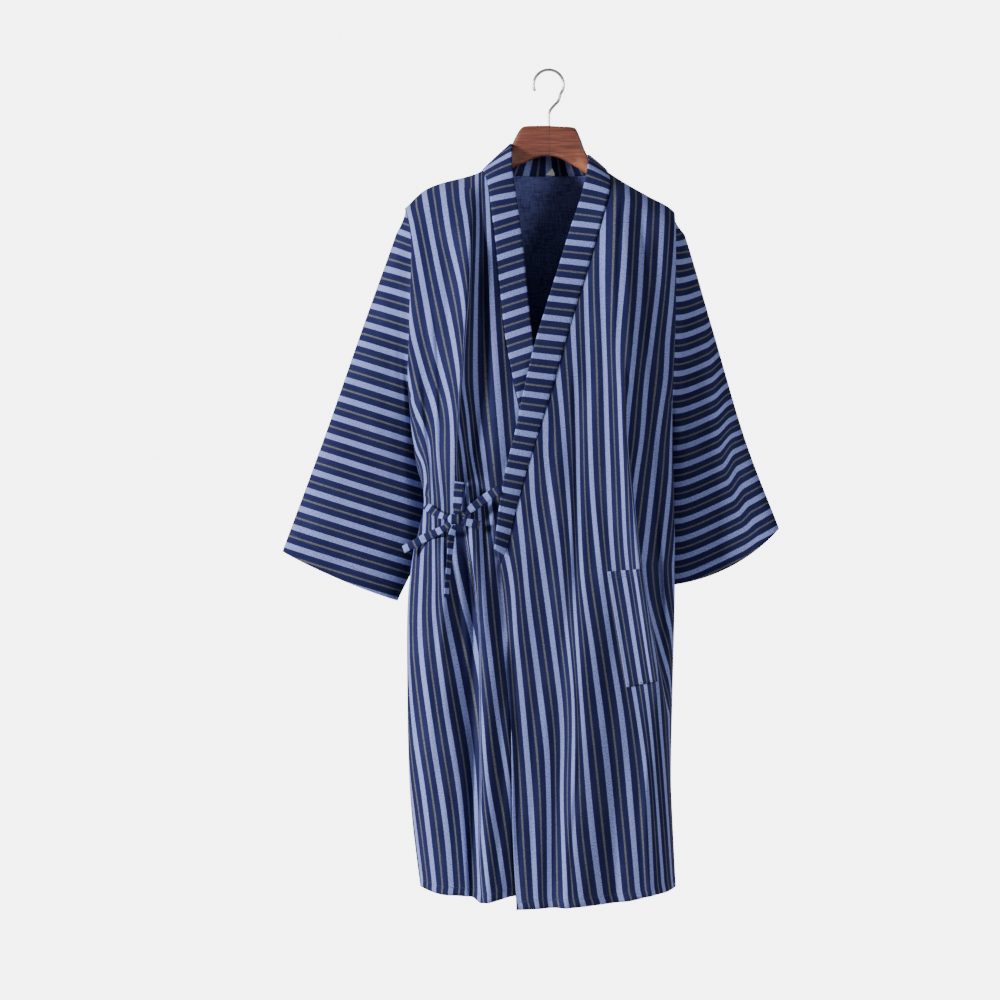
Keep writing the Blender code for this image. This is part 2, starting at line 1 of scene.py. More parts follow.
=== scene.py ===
# %% [markdown]
# # A striped kimono robe on a wooden hanger
#
# The robe is cotton cloth hanging from the shoulders of a hanger. Everything here is thin
# sheet: two fronts, a back, two wide sleeves, a folded collar band, a patch pocket and a
# tied bow. The imported model gives the true size and place of each piece, so it is loaded
# first.

# %% Load the imported model
import bmesh
import bpy
import math
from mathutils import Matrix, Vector, noise


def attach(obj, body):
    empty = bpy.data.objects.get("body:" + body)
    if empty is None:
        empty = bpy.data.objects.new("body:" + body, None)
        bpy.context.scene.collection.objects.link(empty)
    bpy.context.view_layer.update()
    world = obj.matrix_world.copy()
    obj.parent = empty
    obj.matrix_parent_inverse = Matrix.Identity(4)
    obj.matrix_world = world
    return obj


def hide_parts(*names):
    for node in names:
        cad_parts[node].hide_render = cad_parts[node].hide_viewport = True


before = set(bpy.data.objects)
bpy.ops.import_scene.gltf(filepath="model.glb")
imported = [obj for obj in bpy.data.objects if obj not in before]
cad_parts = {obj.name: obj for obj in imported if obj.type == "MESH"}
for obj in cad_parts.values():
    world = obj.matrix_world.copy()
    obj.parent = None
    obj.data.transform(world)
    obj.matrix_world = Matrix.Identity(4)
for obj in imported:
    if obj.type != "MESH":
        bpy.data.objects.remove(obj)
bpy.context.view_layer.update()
MM = 0.001

# %% [markdown]
# ## The camera
#
# The photograph looks straight at the robe from some metres away, level with its middle.
# A long lens keeps the sleeves and hem undistorted, as a shop photographer would want.

# %% Camera
VIEW_DISTANCE = 4.0
VIEW_WIDTH = 1.55
camera_data = bpy.data.cameras.new("photo_camera")
camera_data.sensor_width = 36
camera_data.lens = 36 * VIEW_DISTANCE / VIEW_WIDTH
camera = bpy.data.objects.new("photo_camera", camera_data)
camera.location = (-0.076, -VIEW_DISTANCE - 0.03, -0.6696)
camera.rotation_euler = (math.radians(90), 0, 0)
bpy.context.scene.collection.objects.link(camera)
bpy.context.scene.camera = camera
print("lens", round(camera_data.lens, 1))

# %% [markdown]
# ## Sizes of the robe
#
# The same named sizes as in the solids, in millimetres: x to the viewer's right, y away
# from the viewer, and drop downwards from the inside of the hook. Sections of the body
# give its width and depth; lines give the shoulders, the seams and the hem.

# %% Sizes
BODY = [
    # drop, left_x, right_x, front, back
    (110, -226, 196, 29, 29), (150, -226, 196, 33, 32), (210, -226, 197, 42, 36),
    (232, -219.5, 197, 45, 37), (262, -214.5, 197, 49, 38.5), (300, -214, 197, 53, 40),
    (400, -217, 196, 60, 41), (500, -219, 193, 62, 40),
    (600, -209, 194, 60, 38), (670, -195, 196, 55, 35), (750, -211, 197, 58, 38),
    (825, -220, 197, 61, 40), (950, -221, 194, 65, 42), (1100, -218, 191, 67, 44),
    (1180, -212, 194, 67, 45), (1300, -197, 200, 66, 46),
]
SHOULDER = [
    # x, drop
    (-226, 216), (-198, 189), (-174, 177), (-122, 163), (-104, 155), (-75, 129), (-58, 113),
    (0, 121), (64, 136), (89, 155), (118, 174), (155, 195), (191, 215), (211, 239),
]
UNDER_SEAM = [
    # drop, x
    (156, -103), (183, -94.5), (222, -90), (259, -85), (304, -80.5), (350, -76), (414, -69),
    (499, -53), (577, -32), (670, -7), (763, 22), (850, 34), (1000, 40), (1300, 42),
]
UNDER_FOLD = [
    (118, -58), (146, -58), (177, -55), (208, -50), (256, -44), (298, -39), (335, -36),
    (367, -32.5), (408, -28), (499, -13), (577, 3), (670, 18), (752, 27),
]
OVER_SEAM = [
    (156, 91), (180, 95), (225, 85), (310, 60.5), (398, 33), (493, 5.5), (572, -18.5), (632, -37),
    (694, -54), (747, -66.6), (772, -75.5), (792, -73), (828, -69.5), (870, -65), (920, -65),
    (997, -59.5), (1060, -58), (1187, -56), (1300, -51),
]
OVER_FOLD = [
    (132, 63), (161, 59), (183, 54), (215, 45), (246.5, 34), (304, 16.5), (366, -3), (429, -22),
    (505, -40), (564, -52), (591, -59), (625, -67), (654, -73), (699, -79), (745, -84), (764, -85),
]
HEM_UNDER = [(-199, 1271), (-169, 1279), (-122, 1282), (-104, 1288), (-60, 1279), (42, 1268)]
HEM_OVER = [(-51, 1299), (-14, 1297), (40, 1293), (118, 1287), (157, 1279), (200, 1271)]
HEM_BACK = [(-199, 1271), (-120, 1277), (0, 1281), (120, 1278), (200, 1271)]
ARMHOLES = {"left": (208, 505, 34), "right": (222, 515, 33)}
SIDE_TOP = 210          # drops at which the seams meet the shoulder and the hem
INNER_TOP = 156
SIDE_HEM = 1271
INNER_HEM = 1290
SHOULDER_ROUND = 40
SIDE_POWER = 2.4
SHOULDER_POWER = 3.4
SIDE_TIE_PULL = 14
NECK_LEFT = -103.0
NECK_RIGHT = 91.0
NECK_DROPS = (155.5, 156.0)
NECK_DEPTH = 33.0
NECK_DIP = 3.0

# %% [markdown]
# ## Folds as short tables
#
# Hanging cotton falls in long soft rolls. Each one is a line down the cloth, a width on
# either side, and a rise. A narrow side gives a steep flank that squeezes the stripes
# together, which is how a striped cloth shows its folds. Small creases come after the
# large rolls, fanning out from the tie where it pulls the side in.

# %% Fold tables
UNDER_FOLDS = [
    # crest line of (drop, x), left_width, right_width, rise
    ([(190, -124), (500, -124), (645, -152)], 62, 22, 15),
    ([(230, -96), (560, -84), (760, -88)], 10, 24, 6),
    ([(700, -170), (950, -182), (1150, -176)], 34, 74, 15),
    ([(760, -106), (900, -99), (1290, -104)], 15, 52, 13),
]
UNDER_CREASES = [
    ([(260, -122), (412, -131), (560, -143), (640, -146)], 30, 8, 12),
    ([(300, -112), (412, -115), (560, -127), (640, -130)], 12, 22, -13),
    ([(720, -122), (763, -112), (825, -103), (900, -98), (1073, -97), (1290, -93)], 9, 30, 8),
    ([(690, -134), (763, -128), (850, -122), (960, -118), (1290, -117)], 46, 12, -14),
    ([(600, -84), (700, -84), (800, -82), (900, -82)], 46, 44, -15),
    ([(380, -184), (470, -176), (600, -173), (660, -168)], 11, 6, 5),
    ([(470, -205), (560, -196), (650, -184)], 12, 8, 6),
    ([(600, -200), (650, -193), (690, -182)], 10, 9, 5),
    ([(560, -128), (640, -124), (720, -112)], 10, 13, 5),
    ([(600, -98), (700, -92), (800, -84)], 12, 12, 4),
    ([(722, -184), (800, -200), (900, -208)], 10, 13, 5),
    ([(726, -166), (800, -163), (900, -166)], 9, 14, 6),
    ([(722, -150), (790, -138), (920, -124)], 10, 14, 5),
    ([(830, -196), (960, -190), (1100, -182)], 20, 14, 4),
    ([(1010, -144), (1140, -134), (1290, -128)], 18, 10, 5),
    ([(980, -66), (1120, -64), (1290, -72)], 14, 18, 4),
    ([(270, -178), (400, -166), (520, -160)], 16, 14, 3),
]
OVER_FOLDS = [
    ([(230, 114), (375, 120), (577, 125), (794, 149), (950, 167)], 62, 31, 21),
    ([(820, 60), (949, 52), (1026, 54), (1212, 40), (1290, 36)], 36, 74, 19),
    ([(930, 174), (1290, 178)], 76, 22, 15),
    ([(730, 163), (850, 171), (960, 176)], 14, 13, -17),
    ([(800, -52), (1290, -36)], 16, 34, 5),
]
OVER_CREASES = [
    ([(470, 113), (577, 116), (679, 127), (769, 137), (900, 160), (1000, 178)], 16, 6, 7),
    ([(480, 40), (600, 43), (800, 42)], 9, 12, -6),
    ([(500, 66), (640, 72), (780, 82)], 16, 20, 4),
    ([(560, 16), (700, 10), (860, 16)], 14, 20, 3),
    ([(880, 26), (1040, 38), (1200, 26), (1290, 24)], 14, 9, 5),
    ([(980, -10), (1130, -12), (1290, -14)], 16, 22, 4),
    ([(900, 108), (1100, 116), (1290, 122)], 22, 26, 4),
    ([(290, 68), (400, 72), (520, 74)], 14, 12, 3),
    ([(205, 104), (300, 98), (400, 98)], 12, 9, 4),
    ([(250, 150), (380, 156), (520, 160)], 14, 16, 4),
    ([(560, 172), (700, 172), (840, 184)], 10, 12, 4),
    ([(1060, 150), (1180, 148), (1290, 156)], 10, 8, 4),
]
BACK_FOLDS = [
    ([(230, -120), (700, -104), (1000, -110)], 52, 44, 13),
    ([(260, 96), (720, 84), (980, 96)], 48, 56, 12),
    ([(760, -150), (1290, -140)], 46, 54, 13),
    ([(640, -18), (1290, -6)], 50, 46, 14),
    ([(820, 132), (1290, 128)], 40, 44, 12),
]
BACK_CREASES = [
    ([(300, -60), (520, -44), (700, -50)], 20, 9, 5),
    ([(420, 34), (620, 30), (800, 40)], 18, 22, 4),
    ([(560, -168), (720, -170), (860, -178)], 9, 18, 5),
    ([(900, -76), (1100, -70), (1290, -74)], 18, 20, 5),
    ([(900, 60), (1100, 58), (1290, 66)], 12, 18, 6),
    ([(560, 150), (760, 158), (900, 160)], 16, 10, 5),
    ([(700, -130), (860, -122), (980, -126)], 14, 9, 5),
    ([(980, 20), (1130, 26), (1290, 22)], 9, 16, 4),
]

# %% [markdown]
# ## Reading the tables
#
# A smooth curve through each table, an easing step, and a soft hump for each fold are all
# that is needed to turn the sizes into a surface.

# %% Curves and humps
def along(points, at, column=1):
    if at <= points[0][0]:
        return points[0][column]
    if at >= points[-1][0]:
        return points[-1][column]
    index = 0
    while points[index + 1][0] < at:
        index += 1
    before = points[max(index - 1, 0)]
    start = points[index]
    end = points[index + 1]
    after = points[min(index + 2, len(points) - 1)]
    span = end[0] - start[0]
    part = (at - start[0]) / span
    slope_in = (end[column] - before[column]) / (end[0] - before[0]) * span
    slope_out = (after[column] - start[column]) / (after[0] - start[0]) * span
    p2 = part * part
    p3 = p2 * part
    return ((2 * p3 - 3 * p2 + 1) * start[column] + (p3 - 2 * p2 + part) * slope_in
            + (3 * p2 - 2 * p3) * end[column] + (p3 - p2) * slope_out)


def mix(first, second, part):
    return first + (second - first) * part


def ease(value, low, high):
    part = min(max((value - low) / (high - low), 0.0), 1.0)
    return part * part * (3 - 2 * part)


def folds(table, x, drop, lead=70, fade_in=90):
    total = 0.0
    for crest, left_width, right_width, rise in table:
        top = crest[0][0]
        bottom = crest[-1][0]
        if drop < top - lead or drop > bottom + fade_in:
            continue
        fade = ease(drop, top - lead, top + fade_in)
        if bottom < 1200:
            fade *= 1 - ease(drop, bottom - fade_in, bottom + fade_in)
        offset = x - along(crest, drop)
        offset /= left_width if offset < 0 else right_width
        if abs(offset) < 1:
            total += rise * fade * (1 - offset * offset) ** 2
    return total


def ripple(x, drop, seed):
    """Small unevenness of real cloth, a little over a millimetre."""
    broad = noise.noise(Vector((x / 46, drop / 170, seed)))
    fine = noise.noise(Vector((x / 15, drop / 60, seed + 7)))
    return 1.5 * broad + 0.45 * fine


# %% [markdown]
# ## The body's surface
#
# Seen from above the body is a flattened ring between its side seams, rounded over at the
# shoulders. The under front is pushed back where the other lies on it, and the over front
# always clears it by the thickness of the cloth and some air.

# %% Surface of fronts and back
def rounding(distance):
    part = 1 - min(max(distance / SHOULDER_ROUND, 0.0), 1.0)
    return math.sqrt(1 - part * part)


def armhole_half(side, drop):
    top, bottom, depth = ARMHOLES[side]
    offset = (drop - (top + bottom) / 2) / ((bottom - top) / 2)
    return depth * math.sqrt(1 - offset * offset) if abs(offset) < 1 else 0.0


def side_share(x, drop, limit):
    left_x = along(BODY, drop, 1)
    right_x = along(BODY, drop, 2)
    middle = (left_x + right_x) / 2
    across = min(abs(x - middle) / ((right_x - left_x) / 2), 1.0)
    power = mix(SHOULDER_POWER, SIDE_POWER, ease(drop, 240, 440))
    section = (1 - across ** power) ** (1 / power)
    hole = armhole_half("left" if x < middle else "right", drop)
    return hole + (limit - hole) * section, section


def under_out(x, drop, fine=True):
    depth, section = side_share(x, drop, along(BODY, drop, 3))
    over_edge = along(OVER_FOLD if drop < OVER_FOLD[-1][0] else OVER_SEAM, drop)
    hidden = ease(x, over_edge - 4, over_edge + 34) * ease(drop, 260, 400)
    pull = SIDE_TIE_PULL * math.exp(-((x + 176) / 36) ** 2 - ((drop - 684) / 60) ** 2)
    relief = folds(UNDER_FOLDS, x, drop)
    if fine:
        relief += folds(UNDER_CREASES, x, drop, 20, 40) + ripple(x, drop, 3)
    depth += relief * min(section * 2.2, 1.0) * (1 - hidden) - 9 * hidden - pull * section
    return rounding(drop - along(SHOULDER, x)) * depth


def over_out(x, drop, fine=True):
    depth, section = side_share(x, drop, along(BODY, drop, 3))
    relief = folds(OVER_FOLDS, x, drop)
    if fine:
        relief += folds(OVER_CREASES, x, drop, 20, 40) + ripple(x, drop, 11)
    depth += relief * min(section * 2.2, 1.0)
    depth *= rounding(drop - along(SHOULDER, x))
    if x > 110 or drop < 200:
        return depth
    floor = under_out(x, drop, fine) + 5.5 * (1 - ease(x, 60, 110)) * ease(drop, 170, 330)
    return (depth + floor + math.sqrt((depth - floor) ** 2 + 4)) / 2


def neck_share(x):
    across = (x - (NECK_LEFT + NECK_RIGHT) / 2) / ((NECK_RIGHT - NECK_LEFT) / 2)
    return max(1 - across * across, 0.0) ** 0.55


def back_top(x):
    if NECK_LEFT < x < NECK_RIGHT:
        ends = mix(*NECK_DROPS, (x - NECK_LEFT) / (NECK_RIGHT - NECK_LEFT))
        return ends + NECK_DIP * neck_share(x)
    return along(SHOULDER, x)


def back_out(x, drop, fine=True):
    depth, section = side_share(x, drop, along(BODY, drop, 4))
    relief = folds(BACK_FOLDS, x, drop)
    if fine:
        relief += folds(BACK_CREASES, x, drop, 20, 40) + ripple(x, drop, 19)
    depth += relief * min(section * 2.2, 1.0)
    return mix(NECK_DEPTH * neck_share(x), depth, rounding(drop - back_top(x)))


def point(x, y, drop):
    return Vector((x, y, -drop))


# %% [markdown]
# ## Shader maths as plain expressions
#
# A cloth shader needs a good deal of arithmetic. This small class wraps a socket, so that
# a line of Python such as 1 - mask adds the Math node for it.

# %% Expression class
class Value:
    def __init__(self, paint, socket):
        self.paint = paint
        self.socket = socket

    def _math(self, operation, *others):
        return self.paint.node("ShaderNodeMath", {"operation": operation},
                               dict(enumerate((self,) + others)))

    def __add__(self, other):
        return self._math("ADD", other)

    def __sub__(self, other):
        return self._math("SUBTRACT", other)

    def __rsub__(self, other):
        return self.paint.node("ShaderNodeMath", {"operation": "SUBTRACT"}, {0: other, 1: self})

    def __mul__(self, other):
        return self._math("MULTIPLY", other)

    def __truediv__(self, other):
        return self._math("DIVIDE", other)

    def sine(self):
        return self._math("SINE")

    def fraction(self):
        return self._math("FRACT")

    def size(self):
        return self._math("ABSOLUTE")

    __radd__ = __add__
    __rmul__ = __mul__


class Paint:
    """One material and its nodes."""

    def __init__(self, name):
        self.material = bpy.data.materials.new(name)
        self.material.use_nodes = True
        self.tree = self.material.node_tree
        self.shader = self.tree.nodes["Principled BSDF"]

    def node(self, kind, settings=None, inputs=None, output=0):
        made = self.tree.nodes.new(kind)
        for key, setting in (settings or {}).items():
            if key == "stops":
                ramp = made.color_ramp
                while len(ramp.elements) < len(setting):
                    ramp.elements.new(0.5)
                for element, (place, colour) in zip(ramp.elements, setting):
                    element.position = place
                    element.color = colour
            else:
                setattr(made, key, setting)
        for key, given in (inputs or {}).items():
            self.feed(made.inputs[key], given)
        return Value(self, made.outputs[output])

    def feed(self, socket, given):
        if isinstance(given, Value):
            self.tree.links.new(given.socket, socket)
        else:
            socket.default_value = given

    def set(self, name, given):
        self.feed(self.shader.inputs[name], given)

    def uv(self):
        """The piece's own measure along and across its cloth, in metres."""
        return self.node("ShaderNodeUVMap", {"uv_map": "cloth"})

    def place(self):
        """The place on the object itself, in metres."""
        return self.node("ShaderNodeTexCoord", output=3)

    def parts(self, vector):
        made = self.tree.nodes.new("ShaderNodeSeparateXYZ")
        self.tree.links.new(vector.socket, made.inputs[0])
        return [Value(self, output) for output in made.outputs]

    def vector(self, x, y, z=0.0):
        return self.node("ShaderNodeCombineXYZ", None, {0: x, 1: y, 2: z})

    def noise(self, vector, scale, detail=2.0, rough=0.5):
        return self.node("ShaderNodeTexNoise", {"noise_dimensions": "3D"},
                         {"Vector": vector, "Scale": scale, "Detail": detail, "Roughness": rough})

    def blend(self, share, first, second):
        made = self.tree.nodes.new("ShaderNodeMix")
        made.data_type = "RGBA"
        self.feed(made.inputs[0], share)
        self.feed(made.inputs[6], first)
        self.feed(made.inputs[7], second)
        return Value(self, made.outputs[2])

    def step(self, value, low, high):
        """0 below low, 1 above high, smooth between."""
        return self.node("ShaderNodeMapRange", {"interpolation_type": "SMOOTHSTEP"},
                         {0: value, 1: low, 2: high, 3: 0.0, 4: 1.0})

    def bump(self, height, distance, strength=1.0):
        return self.node("ShaderNodeBump", None,
                         {"Height": height, "Distance": distance, "Strength": strength})


# %% [markdown]
# ## The striped cotton
#
# The cloth is woven with navy yarn, a wide stripe of pale blue chambray and a thin stripe
# of olive, again and again. The stripe is read from the cloth's own measure in metres, so
# it runs with the yarn and bunches in the folds. Chambray mixes white and blue yarn, which
# gives its mottled look; each yarn also stands up a little, which is the bump.

# %% Striped cotton material
STRIPE_REPEAT = 0.0305
NAVY = (0.0045, 0.0055, 0.04, 1)
NAVY_WORN = (0.014, 0.015, 0.08, 1)
PALE = (0.235, 0.27, 0.58, 1)
PALE_FLECK = (0.085, 0.105, 0.3, 1)
OLIVE = (0.105, 0.11, 0.108, 1)
OLIVE_FLECK = (0.03, 0.034, 0.06, 1)


def weave(paint, across, down, thread=0.0011):
    """Height of over-and-under yarns, from the cloth's two measures."""
    warp = (across * (math.pi / thread)).sine()
    weft = (down * (math.pi / thread)).sine()
    return (warp * weft) * 0.5 + 0.5


def striped_cotton(name, repeat=STRIPE_REPEAT):
    """A pale stripe lies at each whole repeat, an olive one half way between."""
    paint = Paint(name)
    across, down, _ = paint.parts(paint.uv())
    slub = paint.noise(paint.vector(across * 700, down * 110), 1.0, 2.0)
    fleck = paint.noise(paint.vector(across * 760, down * 420), 1.0, 3.0, 0.65)
    patch = paint.noise(paint.vector(across * 16, down * 12), 1.0, 3.0)
    turn = (across / repeat + 100.5 + (slub - 0.5) * 0.022).fraction()
    off_pale = (turn - 0.5).size()
    pale = 1 - paint.step(off_pale, 0.13, 0.165)
    olive = paint.step(off_pale, 0.434, 0.47)
    navy = paint.blend(paint.step(fleck, 0.42, 0.72), NAVY, NAVY_WORN)
    chambray = paint.blend(paint.step(fleck, 0.34, 0.6), PALE_FLECK, PALE)
    thin = paint.blend(paint.step(fleck, 0.34, 0.6), OLIVE_FLECK, OLIVE)
    colour = paint.blend(olive, paint.blend(pale, navy, chambray), thin)
    worn = paint.blend(paint.step(patch, 0.3, 0.85) * 0.05, colour, (0.14, 0.16, 0.36, 1))
    paint.set("Base Color", worn)
    paint.set("Roughness", 0.78 + fleck * 0.18)
    height = weave(paint, across, down) * 0.5 + slub * 0.6 + fleck * 0.5
    paint.set("Normal", paint.bump(height, 0.0006, 0.5))
    paint.set("Sheen Weight", 0.04)
    paint.set("Sheen Roughness", 0.5)
    paint.set("Sheen Tint", (0.5, 0.55, 1.0, 1))
    paint.set("Specular IOR Level", 0.12)
    return paint.material


def indigo_gauze_painted_light(name):
    """The plain reverse of the double cloth: loosely woven indigo, its colours lightened as painted
    light for light shining through the thin cloth.
    """
    paint = Paint(name)
    across, down, _ = paint.parts(paint.uv())
    square = paint.noise(paint.vector(across * 420, down * 60), 1.0, 2.0)
    other = paint.noise(paint.vector(across * 60, down * 420), 1.0, 2.0)
    patch = paint.noise(paint.vector(across * 22, down * 22), 1.0, 4.0)
    thread = square * 0.5 + other * 0.5
    # Both yarn colours are set lighter than the dyed cloth: painted light standing in for light
    # shining through the thin gauze.
    deep = paint.blend(paint.step(thread, 0.38, 0.6), (0.04, 0.045, 0.16, 1),
                       (0.11, 0.125, 0.36, 1))
    paint.set("Base Color", paint.blend(paint.step(patch, 0.35, 0.7) * 0.5, deep,
                                        (0.13, 0.15, 0.42, 1)))
    paint.set("Roughness", 0.82 + patch * 0.12)
    paint.set("Normal", paint.bump(weave(paint, across, down, 0.0013) + thread, 0.0006, 0.5))
    paint.set("Sheen Weight", 0.2)
    paint.set("Specular IOR Level", 0.2)
    return paint.material


def plain_thread(name, colour):
    paint = Paint(name)
    twist = paint.noise(paint.place(), 2600.0, 2.0)
    darker = tuple(part * 0.6 for part in colour[:3]) + (1,)
    paint.set("Base Color", paint.blend(twist, darker, colour))
    paint.set("Roughness", 0.6 + twist * 0.2)
    paint.set("Normal", paint.bump(twist, 0.0003, 0.4))
    return paint.material


body_cotton = striped_cotton("striped_cotton")
inside_cotton = indigo_gauze_painted_light("indigo_gauze_painted_light")
navy_thread = plain_thread("navy_thread", (0.03, 0.035, 0.11, 1))
print("materials", len(bpy.data.materials))

# %% [markdown]
# ## From a flat grid to hanging cloth
#
# A sheet starts as bmesh's flat grid, like cloth on the cutting table. Each corner of the
# grid is then moved to where the hanging cloth carries it, and the grid's own measure is
# kept as the UV map, in metres. The wall comes from Solidify, whose inner side gets the
# plain reverse of the cloth.

# %% Sheet builder
def show(name, mesh, materials):
    piece = bpy.data.objects.new(name, mesh)
    bpy.context.scene.collection.objects.link(piece)
    for material in materials:
        mesh.materials.append(material)
    for face in mesh.polygons:
        face.use_smooth = True
    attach(piece, "root")
    return piece


def counted_grid(width, height):
    """A flat grid whose corners lie at their own column and row."""
    work = bmesh.new()
    bmesh.ops.create_grid(work, x_segments=width, y_segments=height, size=0.5)
    for vert in work.verts:
        column = round((vert.co.x + 0.5) * width)
        row = round((0.5 - vert.co.y) * height)
        vert.co = (column, row, 0)
    return work


def cloth_sheet(name, rows, measures, facing, wall=1.2, wrap=False, materials=None):
    """rows are points in mm, measures their places on the flat cloth in mm."""
    work = counted_grid(len(rows[0]) - 1, len(rows) - 1)
    layer = work.loops.layers.uv.new("cloth")
    for face in work.faces:
        for loop in face.loops:
            across, down = measures[round(loop.vert.co.y)][round(loop.vert.co.x)]
            loop[layer].uv = (across * MM, down * MM)
    for vert in work.verts:
        vert.co = rows[round(vert.co.y)][round(vert.co.x)] * MM
    if wrap:
        bmesh.ops.remove_doubles(work, verts=work.verts, dist=0.00002)
    work.normal_update()
    work.faces.ensure_lookup_table()
    middle = work.faces[len(work.faces) // 2]
    if middle.normal.dot(facing(middle.calc_center_median())) < 0:
        bmesh.ops.reverse_faces(work, faces=work.faces)
    mesh = bpy.data.meshes.new(name)
    work.to_mesh(mesh)
    area = sum(face.calc_area() for face in work.faces)
    work.free()
    piece = show(name, mesh, materials or [body_cotton, inside_cotton])
    solid = piece.modifiers.new("wall", "SOLIDIFY")
    solid.thickness = wall * MM
    solid.offset = -1
    solid.material_offset = 1
    solid.use_even_offset = False
    print(name, "faces", len(mesh.polygons), "area", round(area, 4))
    return piece


def even_steps(line, count):
    """Points at equal steps along a line with their distances, and the line's own marks."""
    marks = [0.0]
    for first, second in zip(line, line[1:]):
        marks.append(marks[-1] + (second - first).length)
    result = []
    index = 0
    for step in range(count):
        goal = marks[-1] * step / (count - 1)
        while index < len(line) - 2 and marks[index + 1] < goal:
            index += 1
        span = marks[index + 1] - marks[index]
        part = min((goal - marks[index]) / span, 1.0) if span > 0 else 0.0
        result.append((line[index].lerp(line[index + 1], part), goal))
    return result, marks


# %% [markdown]
# ## Following the stripes
#
# The stripe is the best guide to how this cloth hangs. Each pale stripe of the fronts is
# followed down the robe as a short line, and numbered. Where a fold swallows cloth, the
# numbers jump: the stripes left of the fold's edge and those right of it are two families.
# Everything between two lines is read off between their numbers.

# %% Stripe lines of the fronts
OVER_EDGE = [
    # drop, x of the fold that swallows cloth on the over front
    (484, 115), (570, 117), (679, 129), (769, 140), (835, 150), (887, 161), (970, 177),
    (1073, 197), (1300, 230),
]
OVER_STRIPES = {
    # number: line of (drop, x), left of that fold
    -9: [(200, -330), (900, -120), (1297, -84)],
    -8: [(200, -290), (900, -85), (1197, -75), (1297, -66)],
    -7: [(200, -250), (763, -88), (1011, -62), (1197, -54), (1297, -46)],
    -6: [(200, -215), (763, -64), (887, -51), (1011, -39), (1135, -29), (1297, -20)],
    -5: [(200, -180), (640, -54), (701, -45), (825, -33), (949, -17), (1073, -3), (1297, 0)],
    -4: [(200, -140), (577, -33), (670, -25), (763, -12), (887, 5), (1011, 19), (1135, 19),
         (1297, 25)],
    -3: [(200, -80), (515, -9), (608, -5), (732, 12), (856, 25), (980, 36), (1166, 36),
         (1297, 50)],
    -2: [(200, -20), (484, 14), (608, 25), (732, 34), (856, 40), (1042, 53), (1166, 64),
         (1297, 81)],
    -1: [(200, 32), (391, 36), (515, 42), (701, 46), (794, 51), (918, 68), (1073, 88),
         (1297, 110)],
    0: [(205, 64), (298, 56), (484, 60), (639, 65), (763, 76), (887, 93), (1011, 112),
        (1166, 127), (1297, 138)],
    1: [(189, 84), (329, 81), (484, 86), (608, 90), (763, 98), (887, 116), (980, 133),
        (1104, 150), (1297, 160)],
    2: [(205, 121), (298, 115), (422, 105), (515, 107), (639, 112), (763, 119), (887, 138),
        (1042, 158), (1297, 178)],
    3: [(205, 149), (360, 138), (422, 132), (499, 126), (794, 137), (887, 158), (1042, 174),
        (1297, 194)],
    4: [(205, 177), (329, 169), (484, 152), (794, 160), (887, 178), (1042, 189), (1297, 209)],
}
OVER_STRIPES_BEYOND = {
    # the same, right of the fold
    2: [(205, 121), (298, 115), (422, 105), (561, 94), (732, 80)],
    3: [(205, 149), (267, 144), (360, 138), (422, 132), (484, 126), (561, 118), (732, 104)],
    4: [(205, 177), (329, 169), (422, 158), (484, 150), (570, 143), (636, 133), (732, 121),
        (887, 102)],
    5: [(205, 200), (360, 189), (422, 183), (484, 180), (570, 168), (636, 161), (733, 149),
        (825, 136), (949, 118)],
    6: [(360, 217), (484, 203), (570, 194), (636, 189), (733, 178), (825, 167), (928, 157),
        (1042, 144)],
    7: [(360, 250), (484, 234), (639, 212), (777, 194), (887, 188), (970, 182), (1073, 178)],
    8: [(600, 245), (825, 217), (970, 206), (1073, 200)],
    9: [(600, 275), (825, 245), (1073, 225)],
}
UNDER_EDGE = [
    # drop, x of the fold that swallows cloth on the under front
    (225, -119), (304, -121), (353, -124), (412, -130), (462, -134), (560, -142), (639, -143),
    (701, -133), (763, -122), (825, -113), (887, -108), (1073, -107), (1212, -108),
    (1297, -102),
]
UNDER_STRIPES = {
    # number: line of (drop, x), left of that fold
    -1: [(175, -98), (400, -70), (700, -50), (900, -30), (1297, -20)],
    0: [(175, -97), (304, -91), (423, -85), (640, -80), (900, -50), (1297, -30)],
    1: [(175, -112), (240, -109), (400, -102), (700, -90), (900, -60), (1297, -40)],
    2: [(175, -136), (205, -134), (236, -129), (294, -122), (391, -116), (640, -104),
        (900, -70), (1297, -50)],
    3: [(181, -166), (240, -158), (274, -152), (344, -136), (403, -129), (515, -122),
        (700, -112), (900, -84), (1297, -62)],
    4: [(192, -194), (265, -181), (339, -166), (412, -150), (476, -140), (577, -131),
        (825, -100), (1297, -76)],
    5: [(214, -221), (236, -215), (284, -205), (344, -194), (429, -178), (519, -154),
        (578, -149), (677, -150), (758, -147), (811, -136), (894, -115), (1011, -98),
        (1297, -90)],
    6: [(205, -250), (313, -229), (412, -211), (473, -195), (539, -175), (598, -172),
        (677, -165), (758, -165), (831, -161), (944, -140), (1070, -119), (1203, -110),
        (1297, -107)],
    7: [(205, -275), (453, -226), (512, -215), (560, -194), (589, -186), (670, -181),
        (783, -178), (852, -177), (992, -159), (1125, -138), (1297, -124)],
    8: [(205, -300), (515, -234), (578, -213), (618, -194), (670, -191), (763, -197),
        (888, -199), (1035, -180), (1175, -159), (1297, -149)],
    9: [(205, -325), (639, -212), (763, -216), (888, -222), (1000, -213), (1125, -194),
        (1297, -174)],
    10: [(205, -350), (700, -236), (980, -238), (1186, -208), (1297, -194)],
    11: [(205, -375), (700, -262), (980, -262), (1297, -214)],
}
